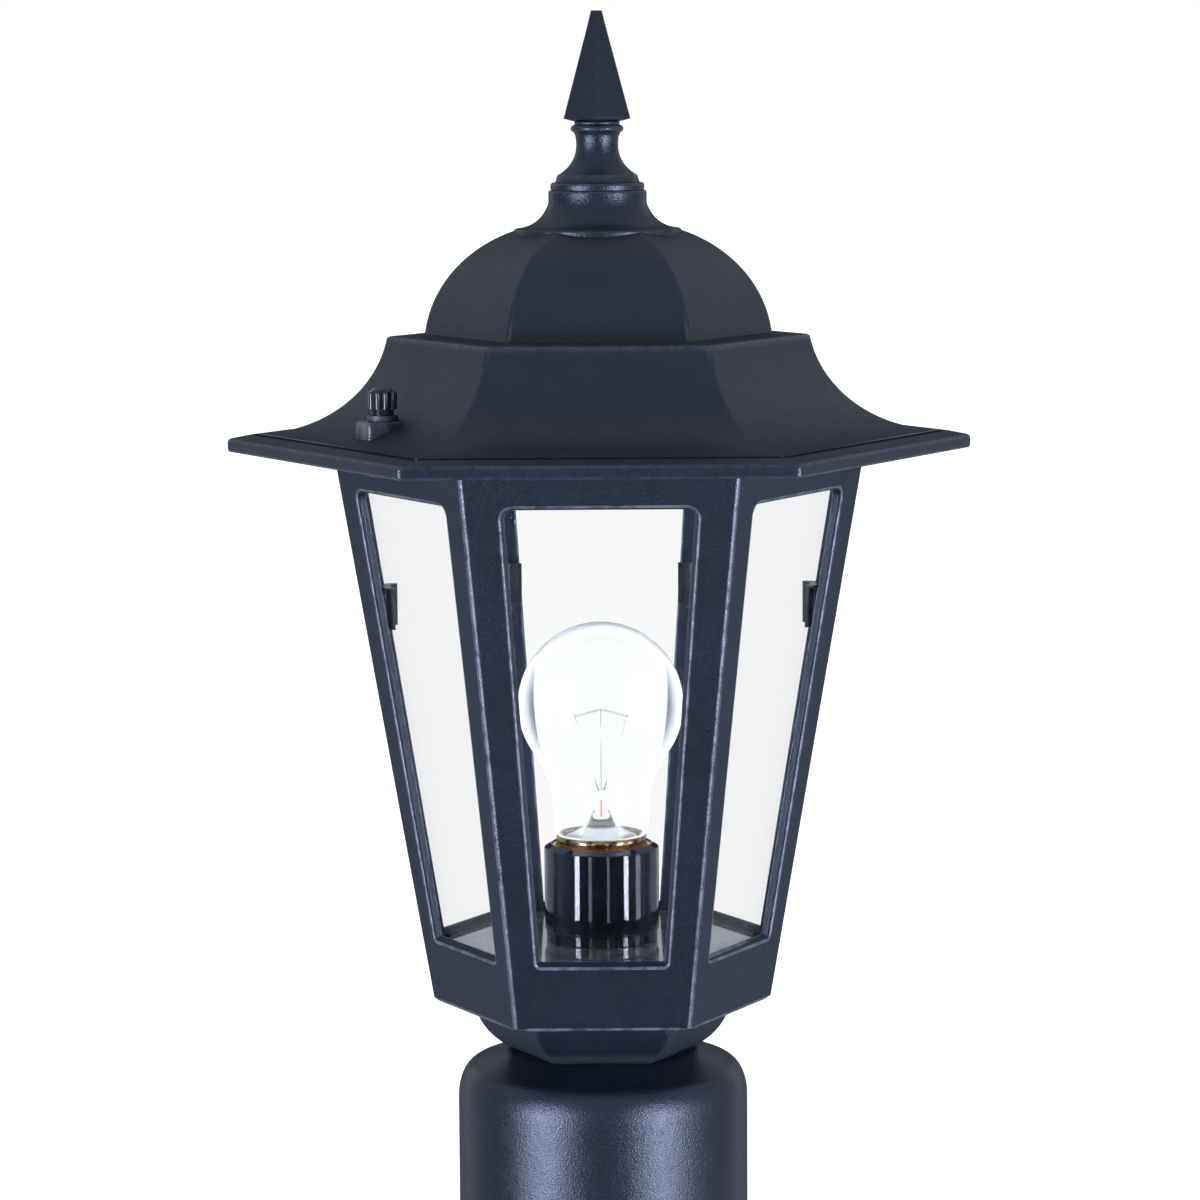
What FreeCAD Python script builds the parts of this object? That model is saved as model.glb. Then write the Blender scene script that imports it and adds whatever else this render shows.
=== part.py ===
"""Post top lantern: a six-sided cast cage with a lift-off roof, one lamp, on a sleeve for a 3 inch post.

Millimetres, +Z up. The origin is the centre of the fitter's bottom rim. Two of the cage's corners lie
on the X axis and the front face looks along -Y. Sides are counted from the face 30 degrees off +X.
"""
import FreeCAD, Part
import math
import os

# ---- six-sided plan ------------------------------------------------------------------------------
SIDES = 6
SIDE_TURN = 360.0 / SIDES
FIRST_FACE = SIDE_TURN / 2
HALF_SIDE = math.pi / SIDES

# ---- post sleeve ---------------------------------------------------------------------------------
post_d = 76.2                  # nominal 3 inch post
post_clearance = 0.4           # radial play on the post
fitter_wall = 3.4
fitter_h = 76.0                # bottom rim to neck
post_depth = 58.0              # bottom rim to the inner stop
post_stop = 4.0                # width of the stop
shoulder_h = 14.0              # rounded shoulder above the straight wall
shoulder_run = 5.4             # how far the rounding comes in
shoulder_rise = 9.9            # height of the rounding
neck_flat_r = 27.6             # round seat on top
neck_margin = 0.35             # the cup's corners inside the seat's edge

screw_count = 3
screw_r = 3.1                  # quarter inch set screw
screw_fit = 0.05               # radial thread clearance
screw_len = 6.4
screw_z = 20.0
screw_setback = 0.3            # inner end behind the sleeve's wall
screw_slot_w = 1.2
screw_slot_depth = 1.3
screw_first = 90.0             # degrees

# ---- six-sided cup between sleeve and cage -------------------------------------------------------
cup_h = 14.0
cup_set_in = 9.7               # the cup's top inside the cage's bottom edge
cup_wall = 3.0

# ---- cage ----------------------------------------------------------------------------------------
cage_flats = 84.7              # across flats at the bottom edge
cage_taper = 8.36              # degrees that each side leans out
cage_h = 160.0
cage_wall = 2.6
cage_web = 3.0
cage_edge_r = 1.3
cage_foot_cut = 2.4            # corner rounding at the bottom edge
seat_z = 16.8                  # floor ledge above the cage's bottom edge
ledge_w = 5.2

window_sill = 1.0              # window's lower edge above the floor plate, up the slope
window_head = 11.1             # window's upper edge to the top of the cage
stile_low = 7.96               # half a corner post beside the window's lower edge
stile_high = 10.3
window_low_r = 0.9
window_high_r = 3.0
window_draft = 0.8             # outer edge larger than the inner one

# ---- glass and its clips -------------------------------------------------------------------------
glass_t = 2.0
glass_gap = 0.15
glass_overlap = 3.2
glass_top_overlap = 4.4

clip_drop = 51.0               # clip's lower end below the cage's top edge
clip_h = 12.0
clip_t = 0.6
clip_flat_half = 3.2
clip_wing_half = 6.2
clip_gap = 0.1
clip_boss_half = 2.6
clip_boss_inset = 1.5          # boss shorter than the clip at each end

# ---- floor plate ---------------------------------------------------------------------------------
plate_t = 1.2
plate_corner = 1.2             # round of the sheet outside its flats' line
plate_clearance = 0.4

# ---- centre nipple and its nuts ------------------------------------------------------------------
nipple_r = 5.1
nipple_bore_r = 3.3
nipple_clearance = 0.3
nipple_tail = 10.0             # below the sleeve's top wall
locknut_flats = 15.9
locknut_h = 3.5
socket_nut_h = 3.0
lock_washer_r = 8.0
lock_washer_t = 0.8

# ---- roof ----------------------------------------------------------------------------------------
roof_wall = 2.6
seat_gap = 0.2                 # play between pieces that lift apart
eave = 26.04                   # rim outside the cage's top edge
rim_low = -0.5                 # heights of the roof are above the cage's top edge
rim_h = 3.7
rim_round = 0.6
rim_land = 5.8                 # flat border inside the rim
rim_land_drop = 0.2            # border's inner edge below the skirt's foot
rim_groove = 1.0
rim_groove_depth = 0.8
skirt_low = 4.7
skirt_high = 31.7
skirt_set_in = 13.56           # skirt's top inside the cage's top edge
skirt_arc_in = 7.3             # centre of the concave arc inside the rim
skirt_arc_z = 37.5
ledge_round = 0.7
dome_base = 32.7
dome_arc_x = 8.1
dome_arc_z = 29.2
dome_arc_r = 35.0
dome_arc_via = 48.0            # degrees, a point on the arc's way up
neck_r = 13.9
neck_top = 73.1
neck_foot_r = 23.7
neck_foot_z = 62.3
neck_foot_h = 1.9              # thickness of the flare's lip
neck_buried = 3.0              # inside the dome
neck_edge = 0.5
neck_waist_r = 17.5
neck_waist_z = 65.3
neck_root_z = 69.6
neck_web = 4.1
neck_core_r = 9.0
rib_t = 3.6                    # rib that stands on the cage's rim
rib_lap = 0.3                  # rib outside the cage's top edge
tongue_t = 2.3                 # tongue inside the cage
tongue_h = 3.5
tongue_clearance = 0.5

# ---- roof fastening ------------------------------------------------------------------------------
fastener_faces = (0, 3)        # sides that carry a stud
stud_beyond = 3.14             # stud axis outside the cage's top edge
stud_r = 2.08
stud_clearance = 0.4
lug_half = 5.5
lug_beyond = 4.5
lug_h = 4.5
boss_back = 4.2                # boss behind the stud's axis
boss_toe = 2.3                 # boss in front of the washer
boss_margin = 0.2              # boss beside the washer's seat
boss_top = 10.8
boss_round = 0.7
seal_r = 4.3
seal_t = 1.5
seal_clearance = 0.3           # level seat around the washer
nut_fit = 0.06                 # radial thread clearance
nut_r = 4.1
nut_waist_r = 3.3
nut_waist_h = 1.4
nut_head_h = 5.8
nut_crown = 1.0
nut_cap = 1.2
nut_grooves = 12
nut_groove_depth = 0.45
stud_end_gap = 0.5

# ---- finial --------------------------------------------------------------------------------------
finial_set_in = 0.6            # finial's foot inside the collar
finial_foot_h = 2.0
finial_step = 1.0
finial_waist_r = 6.1
bead_low = 89.4
bead_h = 2.0
finial_bead_r = 7.5
finial_ring_r = 6.6
spire_low = 93.3
spire_high = 123.4
spire_low_r = 9.7              # corner radius, four sides, one edge to the front
spire_high_r = 1.75
spire_edge = 0.5
spire_drop = 1.0               # height of the turned underside
finial_stud_r = 2.4
finial_stud_up = 8.0
finial_stud_down = 7.0
finial_nut_flats = 9.5
finial_nut_h = 3.2
finial_washer_r = 5.2
finial_washer_t = 0.8

# ---- lamp socket ---------------------------------------------------------------------------------
socket_h = 25.0
socket_wall = 2.2
socket_web = 2.0
socket_chamfer_x = 1.9
socket_chamfer_z = 1.2
insulator_t = 1.6
insulator_fit = 0.1
contact_t = 0.5
contact_w = 5.0
contact_rise = 0.9
contact_lean = 0.1             # strip's cranked stretch, across
shell_foot_h = 0.6             # inward flange on the insulator
shell_foot_w = 2.0
shell_set_down = 0.6           # screw shell's rim below the socket's rim
shell_wall = 0.9               # with its thread

# ---- lamp ----------------------------------------------------------------------------------------
lamp_r = 23.75
lamp_h = 61.4                  # glass above the lamp base's edge
lamp_neck_over = 0.7           # neck outside the lamp base
lamp_neck_turn = 35.0          # degrees below the equator where the neck begins
lamp_glass_t = 0.7
lamp_glass_in = 0.8            # glass drawn in at its foot
lamp_glass_round = 1.2         # height of that
lamp_seal = 0.2                # cement between glass and base
lamp_base_r = 13.0
lamp_base_clearance = 0.3      # radial play in the socket's shell
lamp_base_wall = 0.8
lamp_base_step = 0.5           # threaded stretch below the top band
lamp_base_band = 2.0
lamp_tip_r = 4.2
lamp_tip_h = 1.0
lamp_tip_share = 0.6           # lower edge's radius and height as shares of the tip's
lamp_insulator_h = 4.0
lamp_insulator_lip = 0.6       # glass around the tip
lamp_insulator_cone = 1.6      # width of the bevel under the upright edge
lamp_insulator_edge = 0.8      # height of the upright edge
lamp_insulator_in = 1.5        # glass inside the lamp base
lamp_base_shown = 2.6          # lamp base above the socket's rim
lamp_contact_gap = 0.3
stem_h = 12.9                  # heights of stem and leads are above the lamp base's edge
stem_r = 2.6
stem_clearance = 0.3
stem_flare_h = 6.5
stem_set_down = 1.0            # flare's foot below the lamp base's edge
lead_r = 0.3
support_r = 0.15
lead_spread = 7.3
lead_h = 33.8
filament_r = 0.4
filament_lift = 1.6

# ---- heights and sizes that follow ---------------------------------------------------------------
bore_r = post_d / 2 + post_clearance
fitter_r = bore_r + fitter_wall
cage_z = fitter_h + cup_h
roof_z = cage_z + cage_h
taper = math.radians(cage_taper)
wall_run = cage_wall / math.cos(taper)
cage_foot_a = cage_flats / 2
cage_top_a = cage_foot_a + cage_h * math.tan(taper)
seat_a = cage_foot_a + seat_z * math.tan(taper) - wall_run
plate_z = cage_z + seat_z
floor_z = plate_z + plate_t
window_low = (seat_z + plate_t) / math.cos(taper) + window_sill
window_high = cage_h / math.cos(taper) - window_head
window_low_half = (cage_foot_a + window_low * math.sin(taper)) * math.tan(HALF_SIDE) - stile_low
window_high_half = (cage_foot_a + window_high * math.sin(taper)) * math.tan(HALF_SIDE) - stile_high
clip_z = cage_h - clip_drop
socket_z = floor_z + socket_nut_h
socket_top = socket_z + socket_h
insulator_z = socket_z + socket_web
contact_z = insulator_z + insulator_t
shell_inner_r = lamp_base_r + lamp_base_clearance
socket_inner_r = shell_inner_r + shell_wall
socket_r = socket_inner_r + insulator_fit + socket_wall
rim_a = cage_top_a + eave
skirt_top_a = cage_top_a - skirt_set_in
skirt_arc_x = rim_a - skirt_arc_in
skirt_arc_r = math.hypot(skirt_arc_x - skirt_top_a, skirt_arc_z - skirt_high)
nipple_hole_r = nipple_r + nipple_clearance
stud_at = cage_top_a + stud_beyond
boss_half = seal_r + seal_clearance + boss_margin
seal_z = roof_z + boss_top + seat_gap / 2
nut_z = seal_z + seal_t + seat_gap / 2
nut_h = nut_waist_h + nut_head_h
finial_foot_r = neck_r - finial_set_in
lamp_tip_z = contact_z + contact_t + contact_rise + lamp_contact_gap
lamp_base_top = socket_top + lamp_base_shown
lamp_top = lamp_base_top + lamp_h
lamp_neck_r = lamp_base_r + lamp_neck_over
stem_top = lamp_base_top + stem_h
lead_top = lamp_base_top + lead_h

ORIGIN = FreeCAD.Vector(0, 0, 0)
UP = FreeCAD.Vector(0, 0, 1)


# ---- building blocks -----------------------------------------------------------------------------
def spot(x, y, z=0.0):
    """A point or direction in space."""
    return FreeCAD.Vector(x, y, z)


def wire_of(steps, lift):
    """Closed wire. A step is a line's end (x, y), or an arc (x, y, x2, y2) by way of x, y to x2, y2."""
    here = lift(*steps[0])
    edges = []
    for step in steps[1:] + steps[:1]:
        there = lift(*step[-2:])
        if len(step) == 4:
            edges.append(Part.Arc(here, lift(*step[:2]), there).toShape())
        elif here.distanceToPoint(there) > 1e-6:
            edges.append(Part.LineSegment(here, there).toShape())
        here = there
    return Part.Wire(edges)


def section(*steps):
    """Face in the XZ plane, seen from the side: x is the distance from the axis."""
    return Part.Face(wire_of(list(steps), lambda x, z: spot(x, 0, z)))


def plan(steps, z=0.0):
    """Face in a level plane."""
    return Part.Face(wire_of(list(steps), lambda x, y: spot(x, y, z)))


def turned(*steps):
    """Solid of revolution about the lantern's axis."""
    return section(*steps).revolve(ORIGIN, UP, 360)


def spun(shape, degrees):
    """The shape turned about the lantern's axis."""
    copy = shape.copy()
    copy.rotate(ORIGIN, UP, degrees)
    return copy


def moved(shape, x, y, z):
    """The shape shifted."""
    copy = shape.copy()
    copy.translate(spot(x, y, z))
    return copy


def joined(shapes):
    """One solid out of several that touch or overlap."""
    return shapes[0].fuse(shapes[1:]).removeSplitter()


def mitred(*steps):
    """Six-sided solid: the section is carried along each side and mitred at the corners."""
    face = section(*steps)
    box = face.BoundBox
    reach = box.XMax * 2
    run = moved(face.extrude(spot(0, 2 * reach)), 0, -reach, 0)
    spread = reach * math.tan(HALF_SIDE)
    wedge = plan([(0, 0), (reach, -spread), (reach, spread)], box.ZMin - 1)
    side = run.common(wedge.extrude(spot(0, 0, box.ZLength + 2)))
    return joined([spun(side, FIRST_FACE + n * SIDE_TURN) for n in range(SIDES)])


def tube(outer, inner, low, high):
    """Upright ring."""
    return turned((inner, low), (outer, low), (outer, high), (inner, high))


def rod(radius, low, high):
    """Upright cylinder on the axis."""
    return Part.makeCylinder(radius, high - low, spot(0, 0, low))


def hexagon(flats, low, high):
    """Upright hexagonal bar."""
    corner = flats / 2 / math.cos(HALF_SIDE)
    turns = [2 * HALF_SIDE * n for n in range(SIDES)]
    points = [(corner * math.cos(turn), corner * math.sin(turn)) for turn in turns]
    return plan(points, low).extrude(spot(0, 0, high - low))


def rounded(points, radii):
    """Steps of a polygon whose corners are rounded, for a wire."""
    steps = []
    count = len(points)
    for n, (point, radius) in enumerate(zip(points, radii)):
        here = spot(*point)
        back = (spot(*points[n - 1]) - here).normalize()
        ahead = (spot(*points[(n + 1) % count]) - here).normalize()
        half = back.getAngle(ahead) / 2
        reach = radius / math.tan(half)
        bisector = (back + ahead).normalize()
        middle = here + bisector * (radius / math.sin(half) - radius)
        start = here + back * reach
        end = here + ahead * reach
        steps.append((start.x, start.y))
        steps.append((middle.x, middle.y, end.x, end.y))
    return steps


def between(x, x0, y0, x1, y1):
    """Value at x on the line through two points."""
    return y0 + (x - x0) * (y1 - y0) / (x1 - x0)


def arc_point(cx, cz, radius, degrees):
    """Point on a circle in the section plane."""
    angle = math.radians(degrees)
    return cx + radius * math.cos(angle), cz + radius * math.sin(angle)


# ---- places on the cage --------------------------------------------------------------------------
def cage_a(z):
    """Distance from the axis to the outside of a side, at a height above the cage's bottom edge."""
    return cage_foot_a + z * math.tan(taper)


def glass_inside_a(z):
    """Distance from the axis to the inner face of the glass."""
    return cage_a(z) - (cage_wall + glass_gap + glass_t) / math.cos(taper)


def on_side(shape, n):
    """Places a shape drawn flat (x across, y up, z out) on the outside of side n."""
    turn = math.radians(FIRST_FACE + n * SIDE_TURN)
    across = spot(-math.sin(turn), math.cos(turn))
    upward = spot(math.cos(turn) * math.sin(taper), math.sin(turn) * math.sin(taper), math.cos(taper))
    outward = across.cross(upward)
    foot = spot(math.cos(turn) * cage_foot_a, math.sin(turn) * cage_foot_a, cage_z)
    copy = shape.copy()
    copy.Placement = FreeCAD.Placement(foot, FreeCAD.Rotation(across, upward, outward, "XYZ"))
    return copy


def window_half(y):
    """Half the window's width at a height up the slope."""
    return between(y, window_low, window_low_half, window_high, window_high_half)


def stud_side(shape, n):
    """Turns a shape drawn on +X to the side n that carries a stud."""
    return spun(shape, FIRST_FACE + n * SIDE_TURN)


# ---- post sleeve and cup -------------------------------------------------------------------------
def radial_rod(radius, start, end, z, degrees):
    """Level cylinder that points away from the axis."""
    bar = Part.makeCylinder(radius, end - start, spot(start, 0, z), spot(1, 0, 0))
    return spun(bar, degrees)


def screw_angles():
    """Directions of the set screws."""
    return [screw_first + n * 360.0 / screw_count for n in range(screw_count)]


def make_fitter():
    """Sleeve with a rounded shoulder, a stop for the post and a hole for the nipple."""
    straight = fitter_h - shoulder_h
    bend_x = fitter_r - shoulder_run
    bend_z = straight + shoulder_rise
    bulge_x = bend_x + shoulder_run * math.sqrt(0.5)
    bulge_z = straight + shoulder_rise * math.sqrt(0.5)
    inner_top = fitter_h - fitter_wall
    inner_r = bore_r - post_stop
    body = turned(
        (bore_r, 0),
        (fitter_r, 0),
        (fitter_r, straight),
        (bulge_x, bulge_z, bend_x, bend_z),
        (neck_flat_r, fitter_h),
        (nipple_hole_r, fitter_h),
        (nipple_hole_r, inner_top),
        (neck_flat_r - fitter_wall, inner_top),
        (inner_r, bend_z - fitter_wall),
        (inner_r, post_depth),
        (bore_r, post_depth),
    )
    for angle in screw_angles():
        body = body.cut(radial_rod(screw_r + screw_fit, inner_r, fitter_r + 1, screw_z, angle))
    return body


def make_set_screw(angle):
    """Headless slotted screw, backed off so that the bore is clear."""
    start = bore_r + screw_setback
    end = start + screw_len
    body = Part.makeCylinder(screw_r, screw_len, spot(start, 0, screw_z), spot(1, 0, 0))
    rims = [edge for edge in body.Edges if edge.BoundBox.XLength < 1e-3]
    body = body.makeChamfer(screw_r / 6, rims)
    slot = Part.makeBox(screw_slot_depth, screw_slot_w, 3 * screw_r,
                        spot(end - screw_slot_depth, -screw_slot_w / 2, screw_z - 1.5 * screw_r))
    return spun(body.cut(slot), angle)


def make_base_cup():
    """Six-sided cup that curves in to the neck."""
    top = cage_foot_a - cup_set_in
    neck = (neck_flat_r - neck_margin) * math.cos(HALF_SIDE)
    arc_r = ((top - neck) ** 2 + cup_h ** 2) / (2 * (top - neck))
    arc_x = top - arc_r
    low_angle = -math.degrees(math.asin(cup_h / arc_r))
    floor = cup_h - cup_wall
    inner_r = arc_r - cup_wall
    inner_angle = -math.degrees(math.asin(floor / inner_r))
    outer = mitred(
        (0, fitter_h),
        (neck, fitter_h),
        (*arc_point(arc_x, cage_z, arc_r, low_angle / 2), top, cage_z),
        (0, cage_z),
    )
    inner = mitred(
        (0, cage_z - floor),
        arc_point(arc_x, cage_z, inner_r, inner_angle),
        (*arc_point(arc_x, cage_z, inner_r, inner_angle / 2), arc_x + inner_r, cage_z),
        (arc_x + inner_r, cage_z + 1),
        (0, cage_z + 1),
    )
    return outer.cut(inner).cut(rod(nipple_hole_r, fitter_h - 1, cage_z + 1))


# ---- cage ----------------------------------------------------------------------------------------
def cage_block():
    """Outside of the cage, with rounded corners."""
    block = mitred((0, cage_z), (cage_foot_a, cage_z), (cage_top_a, roof_z), (0, roof_z))
    corners = [edge for edge in block.Edges if edge.BoundBox.ZLength > cage_h / 2]
    block = block.makeFillet(cage_edge_r, corners)
    foot_r = cage_foot_a / math.cos(HALF_SIDE) - cage_foot_cut
    wide = cage_top_a * 2
    chamfered = turned(
        (0, cage_z),
        (foot_r, cage_z),
        (foot_r + 2 * cage_foot_cut, cage_z + cage_foot_cut),
        (wide, cage_z + cage_foot_cut),
        (wide, roof_z),
        (0, roof_z),
    )
    return block.common(chamfered)


def cage_hollow():
    """Inside of the cage, stepped where the floor plate rests."""
    low = cage_z + cage_web
    return mitred(
        (0, low),
        (seat_a - ledge_w, low),
        (seat_a - ledge_w, plate_z),
        (seat_a, plate_z),
        (cage_top_a - wall_run, roof_z),
        (cage_top_a - wall_run, roof_z + 1),
        (0, roof_z + 1),
    )


def window_cutter():
    """Trapezoid with rounded corners, larger outside than inside."""
    wires = []
    over = 1.0
    for z in (over, -cage_wall - over):
        grow = between(z, 0, 0, -cage_wall, -window_draft)
        low = window_low - grow
        high = window_high + grow
        points = [(-window_low_half - grow, low), (window_low_half + grow, low),
                  (window_high_half + grow, high), (-window_high_half - grow, high)]
        steps = rounded(points, [window_low_r, window_low_r, window_high_r, window_high_r])
        wires.append(wire_of(steps, lambda x, y: spot(x, y, z)))
    return Part.makeLoft(wires, True, True)


def clip_boss_face():
    """Distance from the axis to the face that a clip lies on."""
    return corner_line(glass_inside_a(clip_z) - clip_gap, clip_flat_half)


def corner_line(side_a, across):
    """On a corner's centre plane's frame: how far out a side's plane lies at a distance across."""
    return (side_a - across * math.sin(HALF_SIDE)) / math.cos(HALF_SIDE)


def clip_boss():
    """Block cast into a corner, where a clip is fixed."""
    low = cage_z + clip_z + clip_boss_inset
    start = clip_boss_face()
    end = (cage_a(clip_z) - wall_run / 2) / math.cos(HALF_SIDE)
    return Part.makeBox(end - start, 2 * clip_boss_half, clip_h - 2 * clip_boss_inset,
                        spot(start, -clip_boss_half, low))


def stud_lug():
    """Ear under the eave that holds a stud."""
    start = cage_a(cage_h - lug_h) - wall_run / 2
    end = stud_at + lug_beyond - lug_half
    steps = [(start, -lug_half), (end, -lug_half), (end + lug_half, 0, end, lug_half), (start, lug_half)]
    return plan(steps, roof_z - lug_h).extrude(spot(0, 0, lug_h))


def make_cage():
    """Six-sided frame with a window in each side."""
    body = cage_block().cut(cage_hollow())
    window = window_cutter()
    body = body.cut([on_side(window, n) for n in range(SIDES)])
    bosses = [spun(clip_boss(), n * SIDE_TURN) for n in range(SIDES)]
    lugs = [stud_side(stud_lug(), n) for n in fastener_faces]
    body = joined([body] + bosses + lugs)
    hole = moved(rod(stud_r, 0, lug_h + 2), stud_at, 0, roof_z - lug_h - 1)
    holes = [stud_side(hole, n) for n in fastener_faces]
    holes.append(rod(nipple_hole_r, cage_z - 1, cage_z + cage_web + 1))
    return body.cut(holes)


# ---- glass ---------------------------------------------------------------------------------------
def make_pane(n):
    """Sheet that stands on the floor plate behind a window."""
    outside = -(cage_wall + glass_gap)
    low = (floor_z - cage_z + outside * math.sin(taper)) / math.cos(taper)
    high = window_high + glass_top_overlap
    low_half = window_half(low) + glass_overlap
    high_half = window_half(high) + glass_overlap
    corners = [(-low_half, low), (low_half, low), (high_half, high), (-high_half, high)]
    return on_side(plan(corners, outside - glass_t).extrude(spot(0, 0, glass_t)), n)


def make_clip():
    """Bent strip over a corner: wings on both panes at the foot, a lip to the panes at the top."""
    low = cage_z + clip_z
    high = low + clip_h
    foot_a = glass_inside_a(clip_z) - clip_gap
    back_a = foot_a - clip_t
    lip_a = glass_inside_a(clip_z + clip_h) - clip_gap

    def edge(side_a):
        """Four points along the strip, from one wing to the other."""
        places = (-clip_wing_half, -clip_flat_half, clip_flat_half, clip_wing_half)
        return [(corner_line(side_a, abs(across)), across) for across in places]

    strip = plan(edge(foot_a) + edge(back_a)[::-1], low).extrude(spot(0, 0, clip_h))
    lip = plan(edge(lip_a) + edge(back_a)[::-1], high - clip_t).extrude(spot(0, 0, clip_t))
    return joined([strip, lip])


def around_corners(shape):
    """The shape at each corner of the cage, as separate solids."""
    return Part.makeCompound([spun(shape, n * SIDE_TURN) for n in range(SIDES)])


# ---- floor plate and nipple ----------------------------------------------------------------------
def make_floor_plate():
    """Round sheet with a flat at each side, on the cage's ledge."""
    flats = 2 * (seat_a - plate_clearance)
    disc = rod(seat_a + plate_corner, plate_z, floor_z)
    return disc.common(hexagon(flats, plate_z, floor_z)).cut(rod(nipple_hole_r, plate_z - 1, floor_z + 1))


def make_nipple():
    """Threaded tube that clamps sleeve, cup, cage and floor together."""
    low = fitter_h - fitter_wall - nipple_tail
    return tube(nipple_r, nipple_bore_r, low, insulator_z)


def make_locknut(low, height):
    """Hexagonal nut on the nipple."""
    return hexagon(locknut_flats, low, low + height).cut(rod(nipple_r, low - 1, low + height + 1))


# ---- roof ----------------------------------------------------------------------------------------
def skirt_point(radius, side_a):
    """Height on the concave arc at a distance from the axis."""
    return skirt_arc_z - math.sqrt(radius ** 2 - (skirt_arc_x - side_a) ** 2)


def roof_outside():
    """Rim, concave skirt, ledge and dome as one solid form."""
    groove_out = rim_a - rim_land
    groove_in = groove_out - rim_groove
    rim_top = rim_low + rim_h
    skirt_mid = (skirt_top_a + skirt_arc_x) / 2 - (skirt_arc_x - skirt_top_a) / 6
    dome_foot = dome_arc_x + math.sqrt(dome_arc_r ** 2 - (dome_base - dome_arc_z) ** 2)
    dome_mid = arc_point(dome_arc_x, dome_arc_z, dome_arc_r, dome_arc_via)
    steps = [
        (0, rim_low),
        (rim_a - rim_round, rim_low),
        (rim_a, rim_low + rim_round),
        (rim_a, rim_top - rim_round),
        (rim_a - rim_round, rim_top),
        (groove_out, skirt_low - rim_land_drop),
        (groove_out, skirt_low - rim_groove_depth),
        (groove_in, skirt_low - rim_groove_depth),
        (groove_in, skirt_low),
        (skirt_mid, skirt_point(skirt_arc_r, skirt_mid), skirt_top_a, skirt_high - ledge_round),
        (skirt_top_a - ledge_round, skirt_high),
        (dome_foot, dome_base),
        (*dome_mid, dome_arc_x, dome_arc_z + dome_arc_r),
        (0, dome_arc_z + dome_arc_r),
    ]
    return mitred(*steps)


def roof_inside():
    """Hollow of the roof, one wall inside the outside."""
    inner_r = skirt_arc_r + roof_wall
    lip = rim_a - roof_wall
    top_a = skirt_arc_x - math.sqrt(inner_r ** 2 - (skirt_arc_z - skirt_high) ** 2)
    mid_a = (top_a + skirt_arc_x) / 2 - (skirt_arc_x - top_a) / 6
    shelf = skirt_high - roof_wall
    inner_dome_r = dome_arc_r - roof_wall
    dome_mid = arc_point(dome_arc_x, dome_arc_z, inner_dome_r, dome_arc_via)
    foot_z = max(shelf, dome_arc_z)
    dome_foot = dome_arc_x + math.sqrt(inner_dome_r ** 2 - (foot_z - dome_arc_z) ** 2)
    steps = [
        (0, rim_low - 1),
        (lip, rim_low - 1),
        (lip, rim_low + 1),
        (skirt_arc_x, skirt_arc_z - inner_r),
        (mid_a, skirt_point(inner_r, mid_a), top_a, foot_z),
        (dome_foot, foot_z),
        (*dome_mid, dome_arc_x, dome_arc_z + inner_dome_r),
        (0, dome_arc_z + inner_dome_r),
    ]
    return mitred(*steps)


def roof_neck():
    """Round collar that flares down onto the dome."""
    low = neck_foot_z - neck_foot_h
    buried = low - neck_buried
    return turned(
        (0, buried),
        (neck_foot_r - neck_buried, buried),
        (neck_foot_r, low),
        (neck_foot_r, neck_foot_z),
        (neck_waist_r, neck_waist_z, neck_r, neck_root_z),
        (neck_r, neck_top - neck_edge),
        (neck_r - neck_edge, neck_top),
        (0, neck_top),
    )


def roof_boss():
    """Wedge with a level top, for a thumb nut."""
    height = boss_top - rim_low
    boss_in = stud_at - boss_back
    boss_out = stud_at + seal_r + boss_toe
    block = Part.makeBox(boss_out - boss_in, 2 * boss_half, height, spot(boss_in, -boss_half, rim_low))
    corners = [edge for edge in block.Edges
               if edge.BoundBox.ZLength > height / 2 and edge.BoundBox.XMax > boss_out - 1]
    return block.makeFillet(boss_round, corners)


def roof_seat():
    """Rib on the cage's rim, and the tongue that centres it."""
    low = seat_gap
    rib_out = cage_top_a + rib_lap
    rib_in = rib_out - rib_t
    tongue_out = cage_a(cage_h - tongue_h) - wall_run - tongue_clearance
    tongue_in = tongue_out - tongue_t
    top_out = skirt_point(skirt_arc_r, rib_out) - roof_wall / 2
    top_in = skirt_point(skirt_arc_r, tongue_in) - roof_wall / 2
    return mitred(
        (tongue_in, low - tongue_h),
        (tongue_out, low - tongue_h),
        (tongue_out, low),
        (rib_out, low),
        (rib_out, top_out),
        (rib_in, top_out),
        (tongue_in, top_in),
    )


def make_roof():
    """Roof casting."""
    bosses = [stud_side(roof_boss(), n) for n in fastener_faces]
    body = joined([roof_outside(), roof_neck()] + bosses)
    body = body.cut(roof_inside())
    body = joined([body, roof_seat()])
    hole = moved(rod(stud_r + stud_clearance, rim_low, boss_top + 1), stud_at, 0, 0)
    holes = [stud_side(hole, n) for n in fastener_faces]
    spot_face = moved(rod(seal_r + seal_clearance, boss_top, boss_top + seal_t), stud_at, 0, 0)
    holes += [stud_side(spot_face, n) for n in fastener_faces]
    holes.append(rod(neck_core_r, dome_arc_z, neck_top - neck_web))
    holes.append(rod(finial_stud_r + nipple_clearance, dome_arc_z, neck_top + 1))
    return moved(body.cut(holes), 0, 0, roof_z)


# ---- roof fastening ------------------------------------------------------------------------------
def stud_top():
    """Upper end of the studs, inside the nuts."""
    return nut_z + nut_h - nut_cap - stud_end_gap


def make_studs():
    """Threaded studs fixed in the cage's lugs."""
    stud = moved(rod(stud_r, roof_z - lug_h, stud_top()), stud_at, 0, 0)
    return Part.makeCompound([stud_side(stud, n) for n in fastener_faces])


def make_seal(n):
    """Sealing washer under a thumb nut."""
    ring = tube(seal_r, stud_r + nut_fit, seal_z, seal_z + seal_t)
    return stud_side(moved(ring, stud_at, 0, 0), n)


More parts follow.
